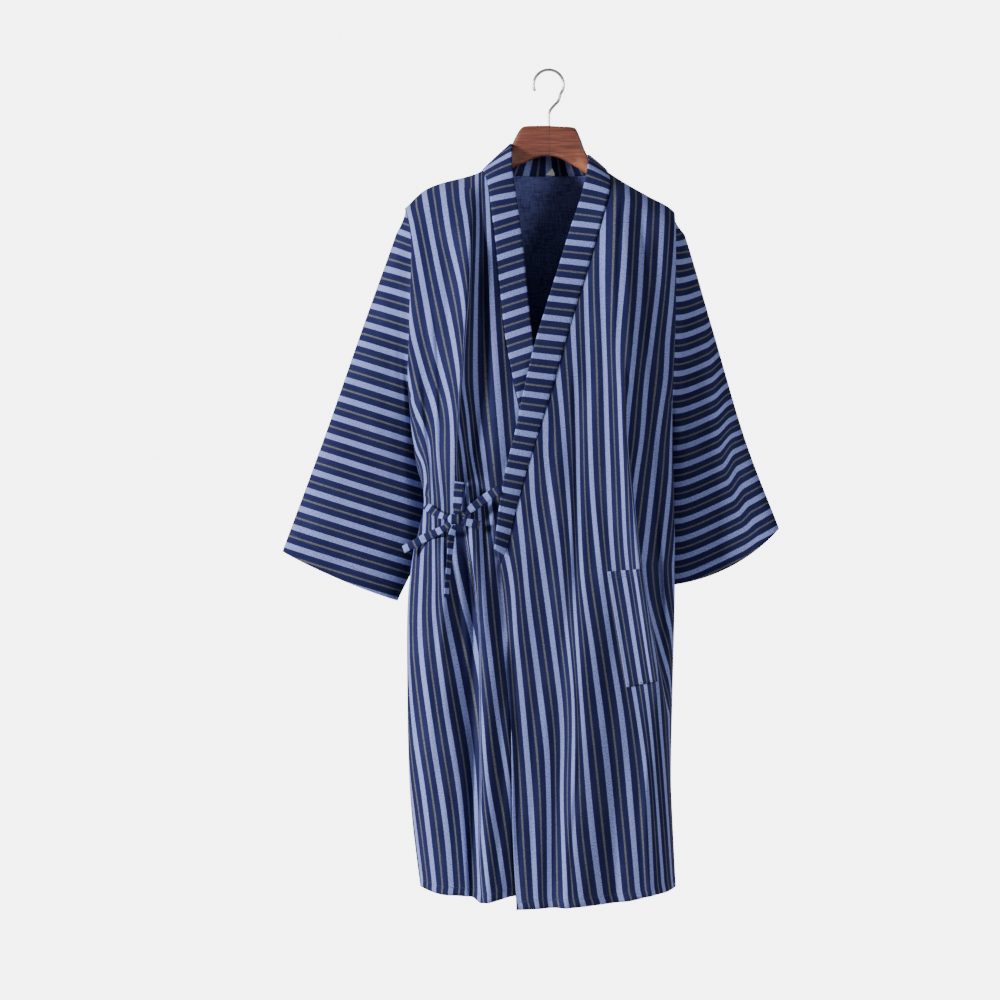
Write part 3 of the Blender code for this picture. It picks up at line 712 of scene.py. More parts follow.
UNDER_STRIPES_BEYOND = {
    # the same, right of the fold
    -4: [(181, 20), (700, 60), (1297, 62)],
    -3: [(181, -10), (700, 30), (1297, 42)],
    -2: [(181, -40), (700, 0), (1073, 14), (1297, 22)],
    -1: [(181, -70), (539, -48), (817, -18), (1073, -8), (1297, 8)],
    0: [(181, -97), (304, -91), (423, -85), (539, -76), (639, -67), (817, -46), (1073, -29),
        (1297, -12)],
    1: [(174, -112), (245, -110), (360, -113), (480, -114), (539, -110), (598, -102),
        (654, -95), (764, -80), (949, -62), (1073, -51), (1297, -40)],
    2: [(174, -136), (236, -129), (360, -129), (480, -133), (539, -126), (598, -120),
        (657, -110), (811, -101), (870, -96), (1011, -78), (1133, -59), (1297, -46)],
    3: [(174, -166), (360, -145), (480, -150), (598, -133), (716, -122), (887, -116),
        (993, -105), (1097, -96), (1203, -78), (1297, -64)],
    4: [(480, -172), (598, -153), (825, -135), (1080, -108), (1150, -106), (1256, -95),
        (1297, -88)],
    5: [(480, -190), (825, -158), (1080, -122), (1228, -115), (1297, -108)],
}


MEET_START = 770
MEET_LENGTH = 240
STRIPE_APART = 25       # mm from one pale stripe to the next, past the last line


def stripe_number(lines, x, drop):
    """Number of the stripe at a place, read between the lines on either side."""
    spots = sorted((along(line, drop), number) for number, line in lines.items())
    if spots[0][0] < x < spots[-1][0]:
        return along(spots, x)
    end, inner = (spots[0], spots[1]) if x <= spots[0][0] else (spots[-1], spots[-2])
    rising = (end[1] > inner[1]) == (end is spots[-1])
    return end[1] + (x - end[0]) / STRIPE_APART * (1 if rising else -1)


def two_families(edge_line, near_lines, far_lines, x, drop, meet=0.0):
    """Stripe number on either side of a fold's edge; meet brings the far side's back."""
    edge = along(edge_line, drop)
    beyond = ease(x, edge - 1.5, edge + 3)
    near = stripe_number(near_lines, x, drop) if beyond < 1 or meet else 0
    far = stripe_number(far_lines, x, drop) if beyond > 0 else 0
    return mix(near, mix(far, near, meet), beyond)


def over_stripe(x, drop):
    """The over front's fold runs out at the side seam, so its two families meet there."""
    meet = min(max((drop - MEET_START) / MEET_LENGTH, 0.0), 1.0)
    return two_families(OVER_EDGE, OVER_STRIPES, OVER_STRIPES_BEYOND, x, drop, meet)


def under_stripe(x, drop):
    return two_families(UNDER_EDGE, UNDER_STRIPES, UNDER_STRIPES_BEYOND, x, drop)


print("over front stripes", [round(over_stripe(x, 700), 1) for x in range(-60, 200, 40)])

# %% [markdown]
# ## Fronts and back
#
# Each panel hangs from the shoulder line to the hem. Rows of points run from the side seam
# to the inner edge, spaced evenly along the cloth. The back has no stripe to follow, so
# its measure is the length along the cloth itself, from the middle of the back.

# %% Panels
PANEL_ROWS = 170
HEM_HEIGHT = 13
REPEAT_MM = STRIPE_REPEAT * 1000
SIDE_TURN = 9           # mm from the side seam, where the cloth turns out of sight
ACROSS_STEPS = 280


def hem_step(drop, hem_drop):
    """The turned-up hem is two layers thicker than the cloth above it."""
    return 0.8 * ease(drop, hem_drop - HEM_HEIGHT - 1.2, hem_drop - HEM_HEIGHT + 0.8)


def panel(side_x, inner_x, top, hem, out, facing, columns, stripe_at=None):
    rows = []
    measures = []
    side_top, inner_top = top(side_x(SIDE_TOP)), top(inner_x(INNER_TOP))
    side_hem, inner_hem = hem(side_x(SIDE_HEM)), hem(inner_x(INNER_HEM))
    for row in range(PANEL_ROWS + 1):
        part = row / PANEL_ROWS
        share = mix(part * part, part, min(part * 4 + 0.12, 1.0))
        start_x = side_x(mix(side_top, side_hem, share))
        end_x = inner_x(mix(inner_top, inner_hem, share))
        dense = []
        for step in range(ACROSS_STEPS + 1):
            across = step / ACROSS_STEPS
            across = mix((1 - math.cos(math.pi * across)) / 2, across, 0.35)
            x = mix(start_x, end_x, across)
            hem_drop = hem(mix(side_x(SIDE_HEM), inner_x(INNER_HEM), across))
            top_x = mix(side_x(SIDE_TOP), inner_x(INNER_TOP), across)
            top_x = mix(x, top_x, min(share * 30, 1.0))
            drop = mix(top(top_x), hem_drop, share)
            depth = max(out(x, drop), 0.15) + hem_step(drop, hem_drop)
            dense.append(point(x, facing * depth, drop))
        spots, marks = even_steps(dense, columns + 1)
        line = [spot for spot, mark in spots]
        rows.append(line)
        if stripe_at:
            lean = 0.09 * ease(part, 0.985, 1.0)
            turned = next(place for place, spot in enumerate(line)
                          if abs(spot.x - start_x) > SIDE_TURN)
            seen = [stripe_at(spot.x, -spot.z) for spot in line]
            for place in range(turned):
                seen[place] = seen[turned] + (spots[turned][1] - spots[place][1]) / REPEAT_MM
            measures.append([((number - lean) * REPEAT_MM, -spot.z)
                             for number, spot in zip(seen, line)])
        else:
            middle = marks[ACROSS_STEPS // 2]
            measures.append([(mark - middle, -spot.z) for spot, mark in spots])
    return rows, measures


def left_side(drop):
    return along(BODY, drop, 1)


def right_side(drop):
    return along(BODY, drop, 2)


def shoulder_drop(x):
    return along(SHOULDER, x)


def to_viewer(place):
    return Vector((0, -1, 0))


def from_viewer(place):
    return Vector((0, 1, 0))


under_rows, under_measures = panel(
    left_side, lambda drop: along(UNDER_SEAM, drop) - 0.3, shoulder_drop,
    lambda x: along(HEM_UNDER, x), under_out, -1, 150, under_stripe)
front_right = cloth_sheet("under_front", under_rows, under_measures, to_viewer)
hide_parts("front_right")
over_rows, over_measures = panel(
    right_side, lambda drop: along(OVER_SEAM, drop) + 0.3, shoulder_drop,
    lambda x: along(HEM_OVER, x), over_out, -1, 190, over_stripe)
front_left = cloth_sheet("over_front", over_rows, over_measures, to_viewer)
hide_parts("front_left")
back_rows, back_measures = panel(
    left_side, right_side, back_top, lambda x: along(HEM_BACK, x), back_out, 1, 150)
back = cloth_sheet("back_panel", back_rows, back_measures, from_viewer)
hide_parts("back")

# %% [markdown]
# ## Sleeves
#
# A kimono sleeve is a wide straight tube of cloth turned so that the stripe runs across
# it. Rings are placed from the armhole to the cuff; the stripe is measured along the arm,
# and follows the sleeve's sag.

# %% Sleeves
SLEEVE_RIGHT_OUTER = [
    # share, x, y, drop
    (0.0, -224, 0, 215), (0.04, -231, 1, 231), (0.1, -241, 2, 262), (0.35, -290, 6, 398),
    (0.7, -353, 12, 577),
    (1.0, -417, 16, 750),
]
SLEEVE_RIGHT_INNER = [
    (0.0, -219.5, 0, 505), (0.05, -216.5, 13, 522), (0.14, -213, 25, 552), (0.3, -200, 36, 612),
    (0.55, -193, 38, 690), (0.8, -206, 36, 760), (1.0, -237, 30, 828),
]
SLEEVE_LEFT_OUTER = [
    (0.0, 197.4, 0, 222), (0.1, 215, 2, 262), (0.35, 256, 8, 400), (0.7, 309, 15, 577),
    (1.0, 362, 20, 714),
]
SLEEVE_LEFT_INNER = [
    (0.0, 193.5, 0, 515), (0.05, 191.3, 13, 532), (0.13, 189, 27, 556), (0.3, 186, 40, 612),
    (0.55, 177, 47, 686), (0.8, 173, 48, 752), (1.0, 174, 47, 806),
]
SLEEVE_ROWS = 110
SLEEVE_AROUND = 120


def sleeve(name, node, side, outer, inner, side_x, out_sign, cuff_depth, bow, stripe_at, seed):
    top, bottom, hole_depth = ARMHOLES[side]
    rings = []
    measures = []
    for ring in range(SLEEVE_ROWS + 1):
        share = (ring / SLEEVE_ROWS) ** 1.15
        start = Vector([along(outer, share, column) for column in (1, 2, 3)])
        end = Vector([along(inner, share, column) for column in (1, 2, 3)])
        line = end - start
        down = Vector((out_sign * abs(line.z), 0, abs(line.x))).normalized()
        opened = ease(share, 0.0, 0.45)
        spots = []
        places = []
        girth = 0.0
        for step in range(SLEEVE_AROUND + 1):
            angle = 2 * math.pi * (step % SLEEVE_AROUND + 0.5) / SLEEVE_AROUND
            across = (1 - math.cos(angle)) / 2
            spot = start + line * across
            spot += down * bow * share * 4 * across * (1 - across)
            drop = mix(top, bottom, across)
            hole = armhole_half(side, drop) * rounding(drop - top)
            tube = mix(hole_depth, cuff_depth, share) * abs(math.sin(angle)) ** 0.85
            half = mix(hole, tube, opened)
            front = -1 if math.sin(angle) > 0 else 1
            wave = noise.noise(Vector((across * 2.6, share * 3.2, seed + front))) * 3.4
            wave += noise.noise(Vector((across * 8, share * 9, seed + front + 5))) * 0.9
            half += wave * abs(math.sin(angle)) * ease(share, 0.03, 0.3)
            x = mix(side_x(drop) - out_sign * 2.5, spot.x, min(share * 12, 1.0))
            placed = point(x, spot.y + front * half, spot.z)
            if spots:
                girth += (placed - spots[-1]).length
            spots.append(placed)
            places.append((stripe_at(placed.x, -placed.z), girth))
        rings.append(spots)
        measures.append(places)
    centre = sum((spot for spot in rings[SLEEVE_ROWS // 2]), Vector()) / (SLEEVE_AROUND + 1)
    piece = cloth_sheet(name, rings, measures, lambda place: place - centre * MM, wrap=True)
    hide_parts(node)
    return piece, rings


RIGHT_SLOPE = 0.315
RIGHT_PALE = (-408.6, 740.6)
LEFT_PALE = (207, 730)
LEFT_RIDGE = [
    # drop, x of the soft ridge down the sleeve, how far the stripes step up over it
    (200, 236, 4), (400, 255, 7), (547, 273, 10), (600, 279, 15), (675, 300, 9), (720, 318, 4),
]


def right_stripe(x, drop):
    """Stripes of the right sleeve slope straight down towards the body."""
    steeper = 0.22 * (1 - ease(drop, 215, 330)) * (x + 225)
    level = drop - RIGHT_SLOPE * (x - RIGHT_PALE[0]) - RIGHT_PALE[1] - steeper
    return level * math.cos(math.atan(RIGHT_SLOPE))


def left_stripe(x, drop):
    """Those of the left sleeve start level, swing up and step over a ridge."""
    reach = max(x - 198, 0.0)
    rise = 0.5 * (reach - 18 * (1 - math.exp(-reach / 18)))
    ridge = along(LEFT_RIDGE, drop, 1)
    rise += along(LEFT_RIDGE, drop, 2) * ease(x, ridge - 13, ridge + 13)
    rise += 0.6 * reach * (1 - ease(drop, 215, 290))
    return (drop + rise - LEFT_PALE[1] - 2) * 1.06


right_sleeve, right_rings = sleeve(
    "right_sleeve_tube", "sleeve_right", "left", SLEEVE_RIGHT_OUTER, SLEEVE_RIGHT_INNER,
    left_side, -1, 26, 4, right_stripe, 31)
left_sleeve, left_rings = sleeve(
    "left_sleeve_tube", "sleeve_left", "right", SLEEVE_LEFT_OUTER, SLEEVE_LEFT_INNER,
    right_side, 1, 25, 20, left_stripe, 41)

# %% [markdown]
# ## Collar band
#
# The band is one long strip, folded in half along its length and sewn to the fronts and
# the back neck. Its section is a flat loop: out along the face, round the fold, and back
# along the inside. The stripe is measured along it, so it crosses the band.

# %% Collar band
NECK_BAND = [
    # seam x, y, drop, folded edge x, y, drop
    (-103, 0, 155.5, -58.5, 3, 113), (-93, 16, 156.6, -57, 15, 114),
    (-70, 26.5, 157.8, -47, 23, 116), (-38, 31.5, 158.6, -26, 27, 117),
    (-6, 33, 158.9, -5, 28, 118), (26, 31.5, 158.8, 17, 27, 119),
    (58, 26.5, 158, 40, 23.5, 123), (82, 16, 157, 58, 15, 128), (91, 0, 156, 63, 3, 131),
]
BAND_STEPS = [
    # seam drop, folded edge drop under, folded edge drop over
    (156.8, 116, 133), (158.5, 119, 136), (162, 124, 140), (168, 132, 146), (178, 146, 158),
    (194, 170, 179), (216, 200, 204), (240, 228, 230),
]
BAND_STEPS += [(260 + 24.7 * step, 251 + 24.7 * step, 251 + 24.7 * step) for step in range(21)]
BAND_GAP = 0.5
BAND_PROUD = 0.8
BAND_LAYERS_APART = 2.9
BAND_TUCK = 1.5
BAND_FACE_STEPS = 12
UNDER_BAND_PALE = 187.6      # drop of a pale stripe at the under band's seam


def band_sections():
    under = []
    over = []
    for seam_drop, under_drop, over_drop in BAND_STEPS:
        seam_x = along(UNDER_SEAM, seam_drop)
        fold_x = along(UNDER_FOLD, under_drop)
        under.append((point(seam_x, -under_out(seam_x, seam_drop, False), seam_drop),
                      point(fold_x, -under_out(fold_x, under_drop, False), under_drop)))
        seam_x = along(OVER_SEAM, seam_drop)
        fold_x = along(OVER_FOLD, over_drop)
        over.append((point(seam_x, -over_out(seam_x, seam_drop, False), seam_drop),
                     point(fold_x, -over_out(fold_x, over_drop, False), over_drop)))
    neck = [(point(*row[:3]), point(*row[3:])) for row in NECK_BAND]
    return over[::-1] + neck[::-1] + under


def smooth_rows(sections, between):
    """More sections between the given ones, on smooth curves through both edges."""
    seam_table = [(index,) + tuple(pair[0]) for index, pair in enumerate(sections)]
    fold_table = [(index,) + tuple(pair[1]) for index, pair in enumerate(sections)]
    result = []
    for step in range((len(sections) - 1) * between + 1):
        at = step / between
        result.append((Vector([along(seam_table, at, k) for k in (1, 2, 3)]),
                       Vector([along(fold_table, at, k) for k in (1, 2, 3)])))
    return result


sections = smooth_rows(band_sections(), 5)
middles = [(seam + fold) / 2 for seam, fold in sections]
travels = [0.0]
for first, second in zip(middles, middles[1:]):
    travels.append(travels[-1] + (second - first).length)
neck_start = 5 * len(BAND_STEPS)
neck_end = neck_start + 5 * len(NECK_BAND)
pale_index = min(range(neck_end, len(sections)),
                 key=lambda index: abs(-sections[index][0].z - UNDER_BAND_PALE))
seen = travels[pale_index] - 6
phase_shift = REPEAT_MM * round(seen / REPEAT_MM) - seen
band_rows = []
band_measures = []
for index, (seam, fold) in enumerate(sections):
    ahead = sections[min(index + 1, len(sections) - 1)]
    behind = sections[max(index - 1, 0)]
    run = ((ahead[0] + ahead[1]) - (behind[0] + behind[1])).normalized()
    width = fold - seam
    outward = run.cross(width).normalized()
    if index == 0:
        turn_out = -1 if outward.y > 0 else 1
    outward *= turn_out
    gap = BAND_GAP + 0.8 * (1 - min(abs(seam.y) / 12, 1.0))
    start = gap / width.length
    reach = travels[index] - 4 + phase_shift * ease(index, neck_start, neck_end)
    lean = 0.1 - 0.42 * ease(index, neck_end - 3, neck_end) * (1 - ease(-seam.z, 188, 262))
    wave = 0.9 * noise.noise(Vector((travels[index] / 45, 3.0, 0.5)))
    bend = BAND_LAYERS_APART / 2
    body = width * (1 - bend / width.length)
    spots = []
    places = []
    face = [mix(start, 1.0, step / BAND_FACE_STEPS) for step in range(BAND_FACE_STEPS + 1)]
    for across in face:
        crown = (0.7 + wave) * math.sin(math.pi * across) - 0.5 * math.exp(-across * 9)
        spots.append(seam + body * across + outward * (BAND_PROUD + crown))
        places.append((reach + lean * (across - 0.5) * width.length, across * width.length))
    for step in range(1, 6):
        angle = math.pi * step / 6
        spots.append(seam + body + width.normalized() * bend * math.sin(angle)
                     + outward * (BAND_PROUD - bend + bend * math.cos(angle)))
        places.append((reach + lean / 2 * width.length, width.length + bend * angle))
    tuck = -BAND_TUCK / width.length
    for across in [1.0, 0.9, 0.75, 0.6, 0.45, 0.3, 0.15, 0.0, tuck]:
        spots.append(seam + body * across + outward * (BAND_PROUD - BAND_LAYERS_APART))
        places.append((reach, (2 - across) * width.length))
    band_rows.append(spots)
    band_measures.append(places)

collar = cloth_sheet("collar_fold", band_rows, band_measures, to_viewer, wall=0.7,
                     materials=[body_cotton, body_cotton])
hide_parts("collar_band")
print("band length", round(travels[-1]), "mm")

# %% [markdown]
# ## The tied bow
#
# Two ties meet at the robe's side in a small bow: two loops, two hanging tails and the
# knot. Each strap is a strip through a few stations, given as a place, a half width and a
# turn about its own line. Its stripes cross it, so the measure along it is the UV's first.

# %% Straps
KNOT = (-145, 699)
KNOT_SIZE = (12, 8, 9.5)
STRAP_STEPS = 70
STRAP_COLUMNS = 9


def on_front(x, drop, lift):
    return point(x, -under_out(x, drop, False) - lift, drop)


def knot_waist(share):
    return 1 - 0.16 * math.exp(-(share * 3.2) ** 2)


def knot_exit(centre, direction, gap):
    run = Vector(direction).normalized()
    reach = KNOT_SIZE[0]
    for step in range(8):
        waist = knot_waist(reach * run.x / KNOT_SIZE[0])
        reach = 1 / math.sqrt((run.x / KNOT_SIZE[0]) ** 2 + (run.y / (KNOT_SIZE[1] * waist)) ** 2
                              + (run.z / (KNOT_SIZE[2] * waist)) ** 2)
    return centre + run * (reach + gap)


def strap(name, node, stations, pale_at, across=None, facing=to_viewer, wall=1.4, puff=0.5):
    """A pale stripe crosses the strap pale_at mm from its start."""
    table = [(index, spot.x, spot.y, spot.z, half, turn)
             for index, (spot, half, turn) in enumerate(stations)]
    line = []
    for step in range(STRAP_STEPS):
        at = (len(table) - 1) * step / (STRAP_STEPS - 1)
        values = [along(table, at, column) for column in range(1, 6)]
        line.append((Vector(values[:3]), values[3], values[4]))
    rows = []
    measures = []
    travelled = 0.0
    for index, (spot, half, turn) in enumerate(line):
        ahead = line[min(index + 1, len(line) - 1)][0]
        behind = line[max(index - 1, 0)][0]
        run = (ahead - behind).normalized()
        side = across.copy() if across else run.cross(Vector((0, -1, 0)))
        side = (side - run * side.dot(run)).normalized()
        lift = side.cross(run)
        angle = math.radians(turn)
        side = side * math.cos(angle) + lift * math.sin(angle)
        lift = side.cross(run)
        if index:
            travelled += (spot - line[index - 1][0]).length
        spots = []
        places = []
        for column in range(STRAP_COLUMNS):
            share = column / (STRAP_COLUMNS - 1) * 2 - 1
            crown = puff * (1 - share ** 4)
            crown += 0.35 * noise.noise(Vector((travelled / 9, share * 1.6, len(name))))
            spots.append(spot + side * half * share + lift * crown)
            places.append((travelled - pale_at, share * half))
        rows.append(spots)
        measures.append(places)
    piece = cloth_sheet(name, rows, measures, facing, wall=wall,
                        materials=[body_cotton, body_cotton])
    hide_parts(node)
    print(name, "length", round(travelled), "mm")


knot_centre = on_front(*KNOT, 10.5)


def leaving(direction, half, gap=0.4):
    """Where a strap comes out of the knot."""
    return knot_exit(knot_centre, direction, gap), half, 0


def by_knot(x, y, z, half):
    return knot_centre + Vector((x, y, z)), half, 0


def lying(x, drop, lift, half, turn=0):
    return on_front(x, drop, lift), half, turn


strap("front_tie_strap", "tie_front", [
    lying(-75.7, 653, 6.2, 6.8), lying(-80, 655, 6.4, 7), lying(-97, 666, 6.8, 7),
    lying(-117, 680, 8, 6.6), leaving((0.86, -0.1, 0.5), 4.5),
], 25)
strap("side_tie_strap", "tie_side", [
    lying(-192, 678, 6.6, 6.3), lying(-183, 684, 8, 6.5), lying(-171, 692, 9, 5.5),
    leaving((-1, 0, 0.22), 3.8, 1.0),
], 9)
strap("upper_loop", "bow_loop_up", [
    leaving((0.16, -0.42, 1), 4, 0.7), by_knot(3, -7, 22, 6.5), by_knot(5, -7.5, 41, 7.5),
    by_knot(6.5, -5, 54, 7.5), by_knot(7, -1, 57, 7.5), by_knot(6.5, 2, 53, 7.5),
    by_knot(5, 2.2, 38, 7), by_knot(3, 1.6, 22, 6), leaving((0.16, 0.08, 1), 4, 0.8),
], 22, Vector((1, 0, -0.12)), lambda place: Vector((0, 0, 1)), 1.1, 0.3)
strap("side_loop", "bow_loop_side", [
    leaving((1, -0.42, -0.26), 3.5, 0.6), by_knot(20, -6.5, -5, 5.5), by_knot(32, -5.5, -8, 6),
    by_knot(37.5, -2.5, -9, 6), by_knot(36, 0.6, -8.6, 6), by_knot(22, 1.4, -5.6, 5.5),
    leaving((1, 0.06, -0.26), 3.5),
], 12, Vector((0.2, 0, 1)), lambda place: Vector((1, 0, 0)), 1.1, 0.3)
strap("left_tail", "tail_left", [
    leaving((-0.74, -0.2, -0.7), 4.2, 1.0), lying(-167, 716, 10, 5.6, 4),
    lying(-190, 727, 9, 6.5, -6), (point(-208, -34, 737), 6.5, -18),
    (point(-226, -31, 746), 6.5, -30),
], 83)
strap("lower_tail", "tail_down", [
    leaving((0.0, -0.16, -1), 3.6, 1.9), lying(-150.5, 724, 11, 5.4, 20),
    lying(-153, 758, 9.5, 6, 50), lying(-156, 790, 9.5, 6, 58), lying(-158, 818, 9.5, 5.5, 50),
], 103)

# %% [markdown]
# The knot is a ball drawn in at its waist, with a few folds where the strap turns round it.

# %% Knot
work = bmesh.new()
bmesh.ops.create_uvsphere(work, u_segments=48, v_segments=28, radius=1)
layer = work.loops.layers.uv.new("cloth")
for face in work.faces:
    for loop in face.loops:
        place = loop.vert.co
        loop[layer].uv = ((math.asin(max(-1, min(1, place.x))) * 12 + 11) * MM,
                          math.asin(max(-1, min(1, place.z))) * 10 * MM)
for vert in work.verts:
    place = vert.co.copy()
    waist = knot_waist(place.x)
    wrinkle = 1 - 0.05 * (0.5 + 0.5 * math.sin(place.z * 9 + place.x * 5)) * (1 - place.x ** 2)
    wrinkle -= 0.035 * (noise.noise(place * 2.6) + 0.6)
    vert.co = (Vector((place.x * KNOT_SIZE[0], place.y * KNOT_SIZE[1] * waist,
                       place.z * KNOT_SIZE[2] * waist)) * wrinkle + knot_centre) * MM
knot_mesh = bpy.data.meshes.new("knot_ball")
work.to_mesh(knot_mesh)
knot_area = sum(face.calc_area() for face in work.faces)
work.free()
knot = show("knot_ball", knot_mesh, [body_cotton])
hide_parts("bow_knot")
print("knot area", round(knot_area, 6))

# %% [markdown]
# ## Patch pocket
#
# The pocket is a flat patch sewn on at its sides and bottom, so its edges are held down and
# its mouth stands a little open. Its own stripes were cut without matching those below.

# %% Pocket
POCKET_CORNERS = ((88.5, 780), (141, 775), (118, 958), (166, 948))
POCKET_STRIPES = [
    # share of the width, stripe number
    (0, -0.1), (0.05, 0), (0.245, 0.5), (0.485, 1), (0.665, 1.5), (0.82, 2), (0.93, 2.5), (1, 3),
]
POCKET_ROWS = 84
POCKET_COLUMNS = 44


def over_normal(x, drop):
    slope_x = (over_out(x + 1, drop) - over_out(x - 1, drop)) / 2
    slope_down = (over_out(x, drop + 2) - over_out(x, drop - 2)) / 4
    return Vector((-slope_x, -1, slope_down)).normalized()


def pocket_spot(across, down, lift):
    top_left, top_right, low_left, low_right = POCKET_CORNERS
    x = mix(mix(top_left[0], low_left[0], down), mix(top_right[0], low_right[0], down), across)
    drop = mix(mix(top_left[1], low_left[1], down), mix(top_right[1], low_right[1], down), across)
    return point(x, -over_out(x, drop), drop) + over_normal(x, drop) * lift


def pocket_lift(across, down):
    held = min(across * 12, (1 - across) * 12, (1 - down) * 36, 1.0)
    return mix(1.3, 2.2, ease(held, 0, 1)) + 0.8 * (1 - ease(down, 0, 0.1))


pocket_rows = []
pocket_measures = []
for row in range(POCKET_ROWS + 1):
    down = row / POCKET_ROWS
    pocket_rows.append([pocket_spot(column / POCKET_COLUMNS, down,
                                    pocket_lift(column / POCKET_COLUMNS, down))
                        for column in range(POCKET_COLUMNS + 1)])
    pocket_measures.append([(along(POCKET_STRIPES, column / POCKET_COLUMNS) * REPEAT_MM,
                             down * 178) for column in range(POCKET_COLUMNS + 1)])
pocket = cloth_sheet("patch_pocket", pocket_rows, pocket_measures, to_viewer, wall=1.0)
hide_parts("pocket")

# %% [markdown]
# ## Label
#
# A small blank label stands up from the back neck seam, folded to a point.

# %% Label
LABEL_STEPS = 12


def woven_white(name):
    paint = Paint(name)
    across, down, _ = paint.parts(paint.uv())
    rib = weave(paint, across, down, 0.0004)
    paint.set("Base Color", paint.blend(rib, (0.66, 0.66, 0.63, 1), (0.84, 0.84, 0.81, 1)))
    paint.set("Roughness", 0.75 + rib * 0.1)
    paint.set("Normal", paint.bump(rib, 0.0003, 0.5))
    return paint.material


label_rows = []
label_measures = []
for row in range(LABEL_STEPS + 1):
    up = row / LABEL_STEPS
    spots = []
    places = []
    for column in range(LABEL_STEPS + 1):
        share = column / LABEL_STEPS
        x = mix(mix(-4, 12, share), 4.5 + 2 * share, up)
        drop = mix(158 + 2.4 * share, 148.5, up)
        spots.append(point(x, mix(30.0, 28.6, up) - 0.7 * math.sin(math.pi * share) * up, drop))
        places.append((x, drop))
    label_rows.append(spots)
    label_measures.append(places)
label = cloth_sheet("blank_label", label_rows, label_measures, to_viewer, wall=0.6,
                    materials=[woven_white("woven_white")])
label.modifiers["wall"].material_offset = 0
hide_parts("neck_label")

# %% [markdown]
# ## Hanger and hook
#
# The wooden hanger is a run of rounded sections read from a table, and the hook is a round
# wire along a path. Both are the same kind of tube, closed at its ends.

# %% Wood and wire
HANGER_LIFT = 1.9
HANGER_RISE = 4.5       # how much higher its middle stands
HANGER = [
    # x, top, bottom, half_thickness
    (-196, 199, 209, 7), (-190, 193.5, 215, 12.5), (-176, 184, 214, 17), (-150, 176.5, 206, 18),
    (-122, 169.5, 198, 16), (-103, 162, 189, 12.5), (-92, 156, 180, 11), (-80, 142, 172, 10.5),
    (-66, 128.5, 163, 10.5), (-58, 120, 158, 10.5), (-53, 111, 155.5, 10), (-46, 99, 152.5, 9.5),
    (-38, 92.5, 149.5, 9), (-18, 91.5, 141.5, 9), (0, 91.5, 139, 9), (18, 92.5, 143, 9),
    (36, 93.5, 152.5, 9), (43, 97, 156.5, 9), (50, 112, 160.5, 9.5), (57, 130, 165, 10),
    (66, 143, 170, 11), (86, 159, 183, 12.5), (110, 174.5, 199, 15), (138, 191, 216, 17),
    (162, 205, 230, 17), (176, 213.5, 234, 13), (182, 219, 231, 7),
]
HOOK_WIRE = 2.25
HOOK_RADIUS = 23.5


def tube(name, rings, materials, slot):
    """Closed tube through rings of equal count, the grid rolled up and its ends filled."""
    around = len(rings[0])
    work = counted_grid(around, len(rings) - 1)
    for vert in work.verts:
        vert.co = rings[round(vert.co.y)][round(vert.co.x) % around] * MM
    bmesh.ops.remove_doubles(work, verts=work.verts, dist=0.00001)
    bmesh.ops.holes_fill(work, edges=[edge for edge in work.edges if edge.is_boundary], sides=0)
    bmesh.ops.recalc_face_normals(work, faces=work.faces)
    mesh = bpy.data.meshes.new(name)
    work.to_mesh(mesh)
    work.free()
    print(name, "faces", len(mesh.polygons))
    return show(name, mesh, materials)


def stained_wood(name):
    """Red-brown stain, worn to orange low at the sides, grain along the arms."""
    paint = Paint(name)
    x, y, z = paint.parts(paint.place())
    grain = paint.noise(paint.vector(x * 22, y * 260, z * 420), 1.0, 4.0, 0.6)
    patch = paint.noise(paint.vector(x * 14, y * 20, z * 30), 1.0, 3.0)
    low = paint.step(z * -1, 0.112, 0.15)
    side = paint.step(x.size(), 0.012, 0.05)
    stain = paint.blend(paint.step(grain, 0.3, 0.7), (0.085, 0.022, 0.014, 1),
                        (0.20, 0.052, 0.03, 1))
    warm = paint.blend(low * side * 0.55 * paint.step(patch, 0.3, 0.7), stain,
                       (0.42, 0.13, 0.045, 1))
    joint = 1 - paint.step((x - 0.001).size(), 0.0003, 0.0009)
    paint.set("Base Color", paint.blend(joint * 0.6, warm, (0.03, 0.008, 0.006, 1)))
    paint.set("Roughness", 0.42 + grain * 0.16)
    paint.set("Coat Weight", 0.5)
    paint.set("Coat Roughness", 0.28)
    paint.set("Normal", paint.bump(grain - joint, 0.0005, 0.25))
    return paint.material


def bright_wire(name):
    paint = Paint(name)
    draw = paint.noise(paint.place(), 900.0, 2.0)
    paint.set("Base Color", (0.62, 0.6, 0.57, 1))
    paint.set("Metallic", 1.0)
    paint.set("Roughness", 0.24 + draw * 0.14)
    paint.set("Normal", paint.bump(draw, 0.0002, 0.2))
    return paint.material


rings = []
table = [(place,) + row for place, row in enumerate(HANGER)]
for index in range((len(HANGER) - 1) * 5 + 1):
    x, top, bottom, half = [along(table, index / 5, column) for column in (1, 2, 3, 4)]
    ring = []
    for step in range(32):
        angle = 2 * math.pi * step / 32
        lift = math.copysign(abs(math.cos(angle)) ** 0.8, math.cos(angle))
        side = math.copysign(abs(math.sin(angle)) ** 0.8, math.sin(angle))
        raised = HANGER_LIFT + HANGER_RISE * (1 - ease(abs(x), 46, 84))
        ring.append(point(x, half * side, mix(top, bottom, (1 - lift) / 2) - raised))
    rings.append(ring)
wood = tube("stained_hanger", rings, [stained_wood("stained_wood")], "hanger_wood")
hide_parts("hanger")

